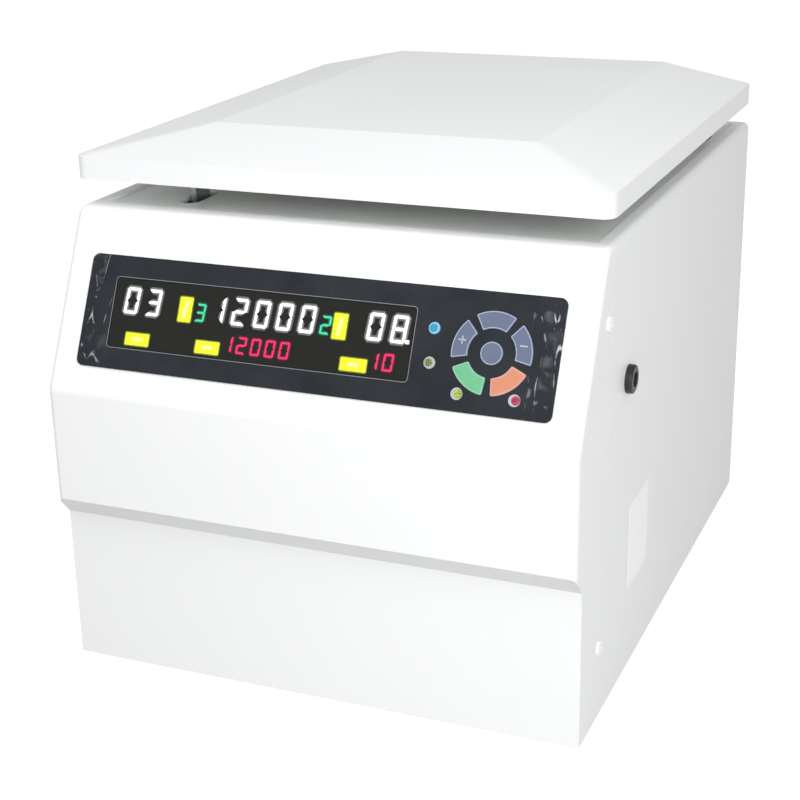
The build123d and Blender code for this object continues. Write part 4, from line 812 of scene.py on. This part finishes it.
class CENTRIFUGE_OT_lines(bpy.types.Operator):
    """Build the printed outlines of the window, the keys and the lamps, and the plus and minus marks; the
    lamp rings and the rings of the mode and light keys are thicker on one side, a painted highlight
    """

    bl_idname = "centrifuge.lines"
    bl_label = "Printed outlines"

    def execute(self, context):
        line = context.scene.centrifuge_display.line
        centre, _ = local_box("key_enter")
        pale = moulded("pale_print", (0.20, 0.215, 0.235), 0.5)
        bluish = moulded("blue_print_and_glints", (0.38, 0.42, 0.54), 0.5)

        def window(shape):
            middle, (half_x, half_y) = local_box("display_window")
            corner = 2.5 * MM
            near = rounded_outline(*middle, half_x + KEY_EDGE, half_y + KEY_EDGE, corner)
            far = rounded_outline(*middle, half_x + KEY_EDGE + line, half_y + KEY_EDGE + line, corner + line)
            band(shape, near, far, 0, PRINT)

        def lamp_rings_and_glints(shape):
            for name in ("lamp_lens_green", "lamp_lens_red"):
                (x, y), (half, _) = local_box(name)
                # The inner circle sits to the right, so the ring is thicker on the left: a printed ring plus
                # a painted crescent of reflection on the lens
                near = circle_outline(x + 0.24 * half, y, 0.84 * half)
                band(shape, near, circle_outline(x, y, half + line), 0, PRINT)

        make_piece("window_outline", window, pale)
        make_piece("lamp_ring_and_glint_prints", lamp_rings_and_glints, bluish)
        for word, turn in RING_TURNS.items():
            def ring_line(shape, turn=turn):
                near, far = (ring_outline(centre, turn, inset) for inset in (KEY_EDGE + line, KEY_EDGE))
                band(shape, near, far, KEY_FACE, KEY_FACE + PRINT)

            make_piece(f"outline_{word}", ring_line, bluish, body=f"key_{word}")
        # The mode and light rings have their inner circle shifted left, so they are thicker on the right: a
        # printed ring plus a painted highlight of the key's dome. The enter ring, with no shift, is plain
        # print.
        for word, shift in (("enter", 0.0), ("mode", 0.12), ("light", 0.12)):
            def round_print_and_glint(shape, word=word, shift=shift):
                (x, y), (half, _) = local_box(f"key_{word}")
                far = half - KEY_FLANGE - KEY_EDGE
                near = circle_outline(x - shift * far, y, (1.0 - shift) * far - line)
                band(shape, near, circle_outline(x, y, far), KEY_FACE, KEY_FACE + PRINT)

            make_piece(f"outline_{word}", round_print_and_glint, bluish, body=f"key_{word}")
        radius = (RING_OUTER + RING_INNER) / 2
        level, upright = (MARK_HALF_LENGTH, MARK_HALF_WIDTH), (MARK_HALF_WIDTH, MARK_HALF_LENGTH)
        for word, bars in (("increase", (level, upright)), ("decrease", (level,))):
            turn = math.radians(RING_TURNS[word])
            x, y = centre[0] + radius * math.cos(turn), centre[1] + radius * math.sin(turn)

            def mark(shape, bars=bars, x=x, y=y):
                for half_x, half_y in bars:
                    outline = rounded_outline(x, y, half_x, half_y, 0.2 * MM)
                    prism(shape, outline, KEY_FACE, KEY_FACE + PRINT)

            make_piece(f"mark_{word}", mark, bluish, body=f"key_{word}")

        def dots(shape):
            (x, y), _ = local_box("key_light")
            for column, row in ((-1, 1), (0, 1), (-1, 0), (0, 0), (1, 0), (-1, -1), (0, -1)):
                spot = (x + (1.35 * column - 0.4) * MM, y + 1.5 * row * MM)
                prism(shape, circle_outline(*spot, 0.5 * MM, steps=12), KEY_FACE, KEY_FACE + PRINT)

        dark = moulded("dark_print", (0.04, 0.045, 0.02), 0.5)
        make_piece("mark_light", dots, dark, body="key_light")
        return {"FINISHED"}


class CENTRIFUGE_OT_side_label(bpy.types.Operator):
    """Stick a bare label on the right side"""

    bl_idname = "centrifuge.side_label"
    bl_label = "Side label"

    def execute(self, context):
        side_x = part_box("main_cover")[1].x
        front_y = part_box("front_cover")[0].y

        def on_side(x, y, z):
            return Vector((side_x + z, x, y))

        def label(shape):
            outline = rounded_outline(front_y + LABEL_BEHIND_FRONT, LABEL_HEIGHT, *LABEL_HALF, 1.0 * MM)
            prism(shape, outline, 0.0, LABEL_THICKNESS, inset=0.05 * MM, to_frame=on_side)

        make_piece("side_label", label, key_film("label_film", (0.97, 0.97, 0.97)))
        return {"FINISHED"}


class CENTRIFUGE_OT_stage(bpy.types.Operator):
    """Set up the floor, the lights, the background and the camera"""

    bl_idname = "centrifuge.stage"
    bl_label = "Stage and camera"

    def execute(self, context):
        sizes = context.scene.centrifuge_stage
        scene = context.scene
        scene.view_settings.view_transform = "Standard"
        self.floor(sizes.floor, sizes.glow)
        self.sky(scene, sizes.around)
        self.lamp("right_lamp", *RIGHT_LAMP, sizes.key)
        self.lamp("top_lamp", *TOP_LAMP, sizes.fill)
        self.camera(scene)
        return {"FINISHED"}

    def floor(self, half, strength):
        """Pale floor that shows white to the camera where nothing shades it."""
        mesh = bpy.data.meshes.new("floor")
        corners = [(-half, -half, 0), (half, -half, 0), (half, half, 0), (-half, half, 0)]
        mesh.from_pydata(corners, [], [(0, 1, 2, 3)])
        floor = bpy.data.objects.new("floor", mesh)
        bpy.context.scene.collection.objects.link(floor)
        paint = Paint("floor_paint", 0.9)
        paint.tone((0.40, 0.40, 0.40), paint.grain(0.4, detail=2.0), 0.01)
        path = paint.node("ShaderNodeLightPath")
        mirror = path.beside("Is Glossy Ray")
        seen = path.beside("Is Camera Ray")
        glow = paint.node("ShaderNodeEmission", sockets={"Color": (1, 1, 1, 1), "Strength": strength})
        none = paint.node("ShaderNodeEmission", sockets={"Strength": 0.0})
        lift = paint.node("ShaderNodeMixShader", sockets={0: seen + mirror, 1: none, 2: glow})
        surface = Wire(paint, paint.shader.outputs[0])
        total = paint.node("ShaderNodeAddShader", sockets={0: surface, 1: lift})
        output = paint.tree.nodes["Material Output"]
        paint.tree.links.new(total.socket, output.inputs["Surface"])
        mesh.materials.append(paint.material)

    def sky(self, scene, strength):
        """Even light from all round, plain white where the camera sees it."""
        world = bpy.data.worlds.new("studio")
        world.use_nodes = True
        scene.world = world
        world.node_tree.nodes.clear()
        sky = Tree(world.node_tree)
        seen = sky.node("ShaderNodeLightPath").beside("Is Camera Ray")
        white = (1.0, 1.0, 1.0, 1.0)
        light = sky.node("ShaderNodeBackground", sockets={"Color": white, "Strength": strength})
        backdrop = sky.node("ShaderNodeBackground", sockets={"Color": white, "Strength": 1.0})
        mix = sky.node("ShaderNodeMixShader", sockets={0: seen, 1: light, 2: backdrop})
        sky.node("ShaderNodeOutputWorld", sockets={"Surface": mix})

    def lamp(self, name, spot, target, size, power):
        """Square soft lamp at a spot, turned to a target."""
        data = bpy.data.lights.new(name, "AREA")
        data.size = size
        data.energy = power
        lamp = bpy.data.objects.new(name, data)
        lamp.location = spot
        lamp.rotation_mode = "QUATERNION"
        lamp.rotation_quaternion = (Vector(target) - Vector(spot)).to_track_quat("-Z", "Y")
        bpy.context.scene.collection.objects.link(lamp)

    def camera(self, scene):
        """Camera at the photograph's place, on its line of sight and with its focal length."""
        data = bpy.data.cameras.new("photo_camera")
        data.sensor_width = CAMERA_SENSOR
        data.lens = CAMERA_LENS
        data.clip_start = 0.05
        data.clip_end = 60.0
        camera = bpy.data.objects.new("photo_camera", data)
        camera.location = CAMERA_SPOT
        camera.rotation_mode = "QUATERNION"
        roll = Quaternion((0, 0, 1), math.radians(CAMERA_ROLL))
        camera.rotation_quaternion = (CAMERA_TARGET - CAMERA_SPOT).to_track_quat("-Z", "Y") @ roll
        scene.collection.objects.link(camera)
        scene.camera = camera


STEPS = (
    CENTRIFUGE_OT_housing,
    CENTRIFUGE_OT_metal,
    CENTRIFUGE_OT_plastic,
    CENTRIFUGE_OT_panel,
    CENTRIFUGE_OT_digits,
    CENTRIFUGE_OT_blocks,
    CENTRIFUGE_OT_lines,
    CENTRIFUGE_OT_side_label,
    CENTRIFUGE_OT_stage,
)


class CENTRIFUGE_PT_sidebar(bpy.types.Panel):
    """Sidebar panel with the sizes, the colours and one button for each step"""

    bl_idname = "CENTRIFUGE_PT_sidebar"
    bl_label = "Bench centrifuge"
    bl_space_type = "VIEW_3D"
    bl_region_type = "UI"
    bl_category = "Centrifuge"

    def draw(self, context):
        for group in (context.scene.centrifuge_display, context.scene.centrifuge_colours,
                      context.scene.centrifuge_stage):
            box = self.layout.box()
            for name in group.__annotations__:
                box.prop(group, name)
        for step in STEPS:
            self.layout.operator(step.bl_idname)


GROUPS = {
    "centrifuge_display": DisplaySizes,
    "centrifuge_colours": FinishColours,
    "centrifuge_stage": StageSizes,
}


def register():
    for kind in (*GROUPS.values(), *STEPS, CENTRIFUGE_PT_sidebar):
        bpy.utils.register_class(kind)
    for name, kind in GROUPS.items():
        setattr(bpy.types.Scene, name, bpy.props.PointerProperty(type=kind))


def unregister():
    for name in GROUPS:
        delattr(bpy.types.Scene, name)
    for kind in (CENTRIFUGE_PT_sidebar, *reversed(STEPS), *reversed(GROUPS.values())):
        bpy.utils.unregister_class(kind)


def main():
    """Registers the add-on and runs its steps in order."""
    register()
    for step in STEPS:
        category, name = step.bl_idname.split(".")
        getattr(getattr(bpy.ops, category), name)()
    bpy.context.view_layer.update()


if __name__ == "__main__":
    main()
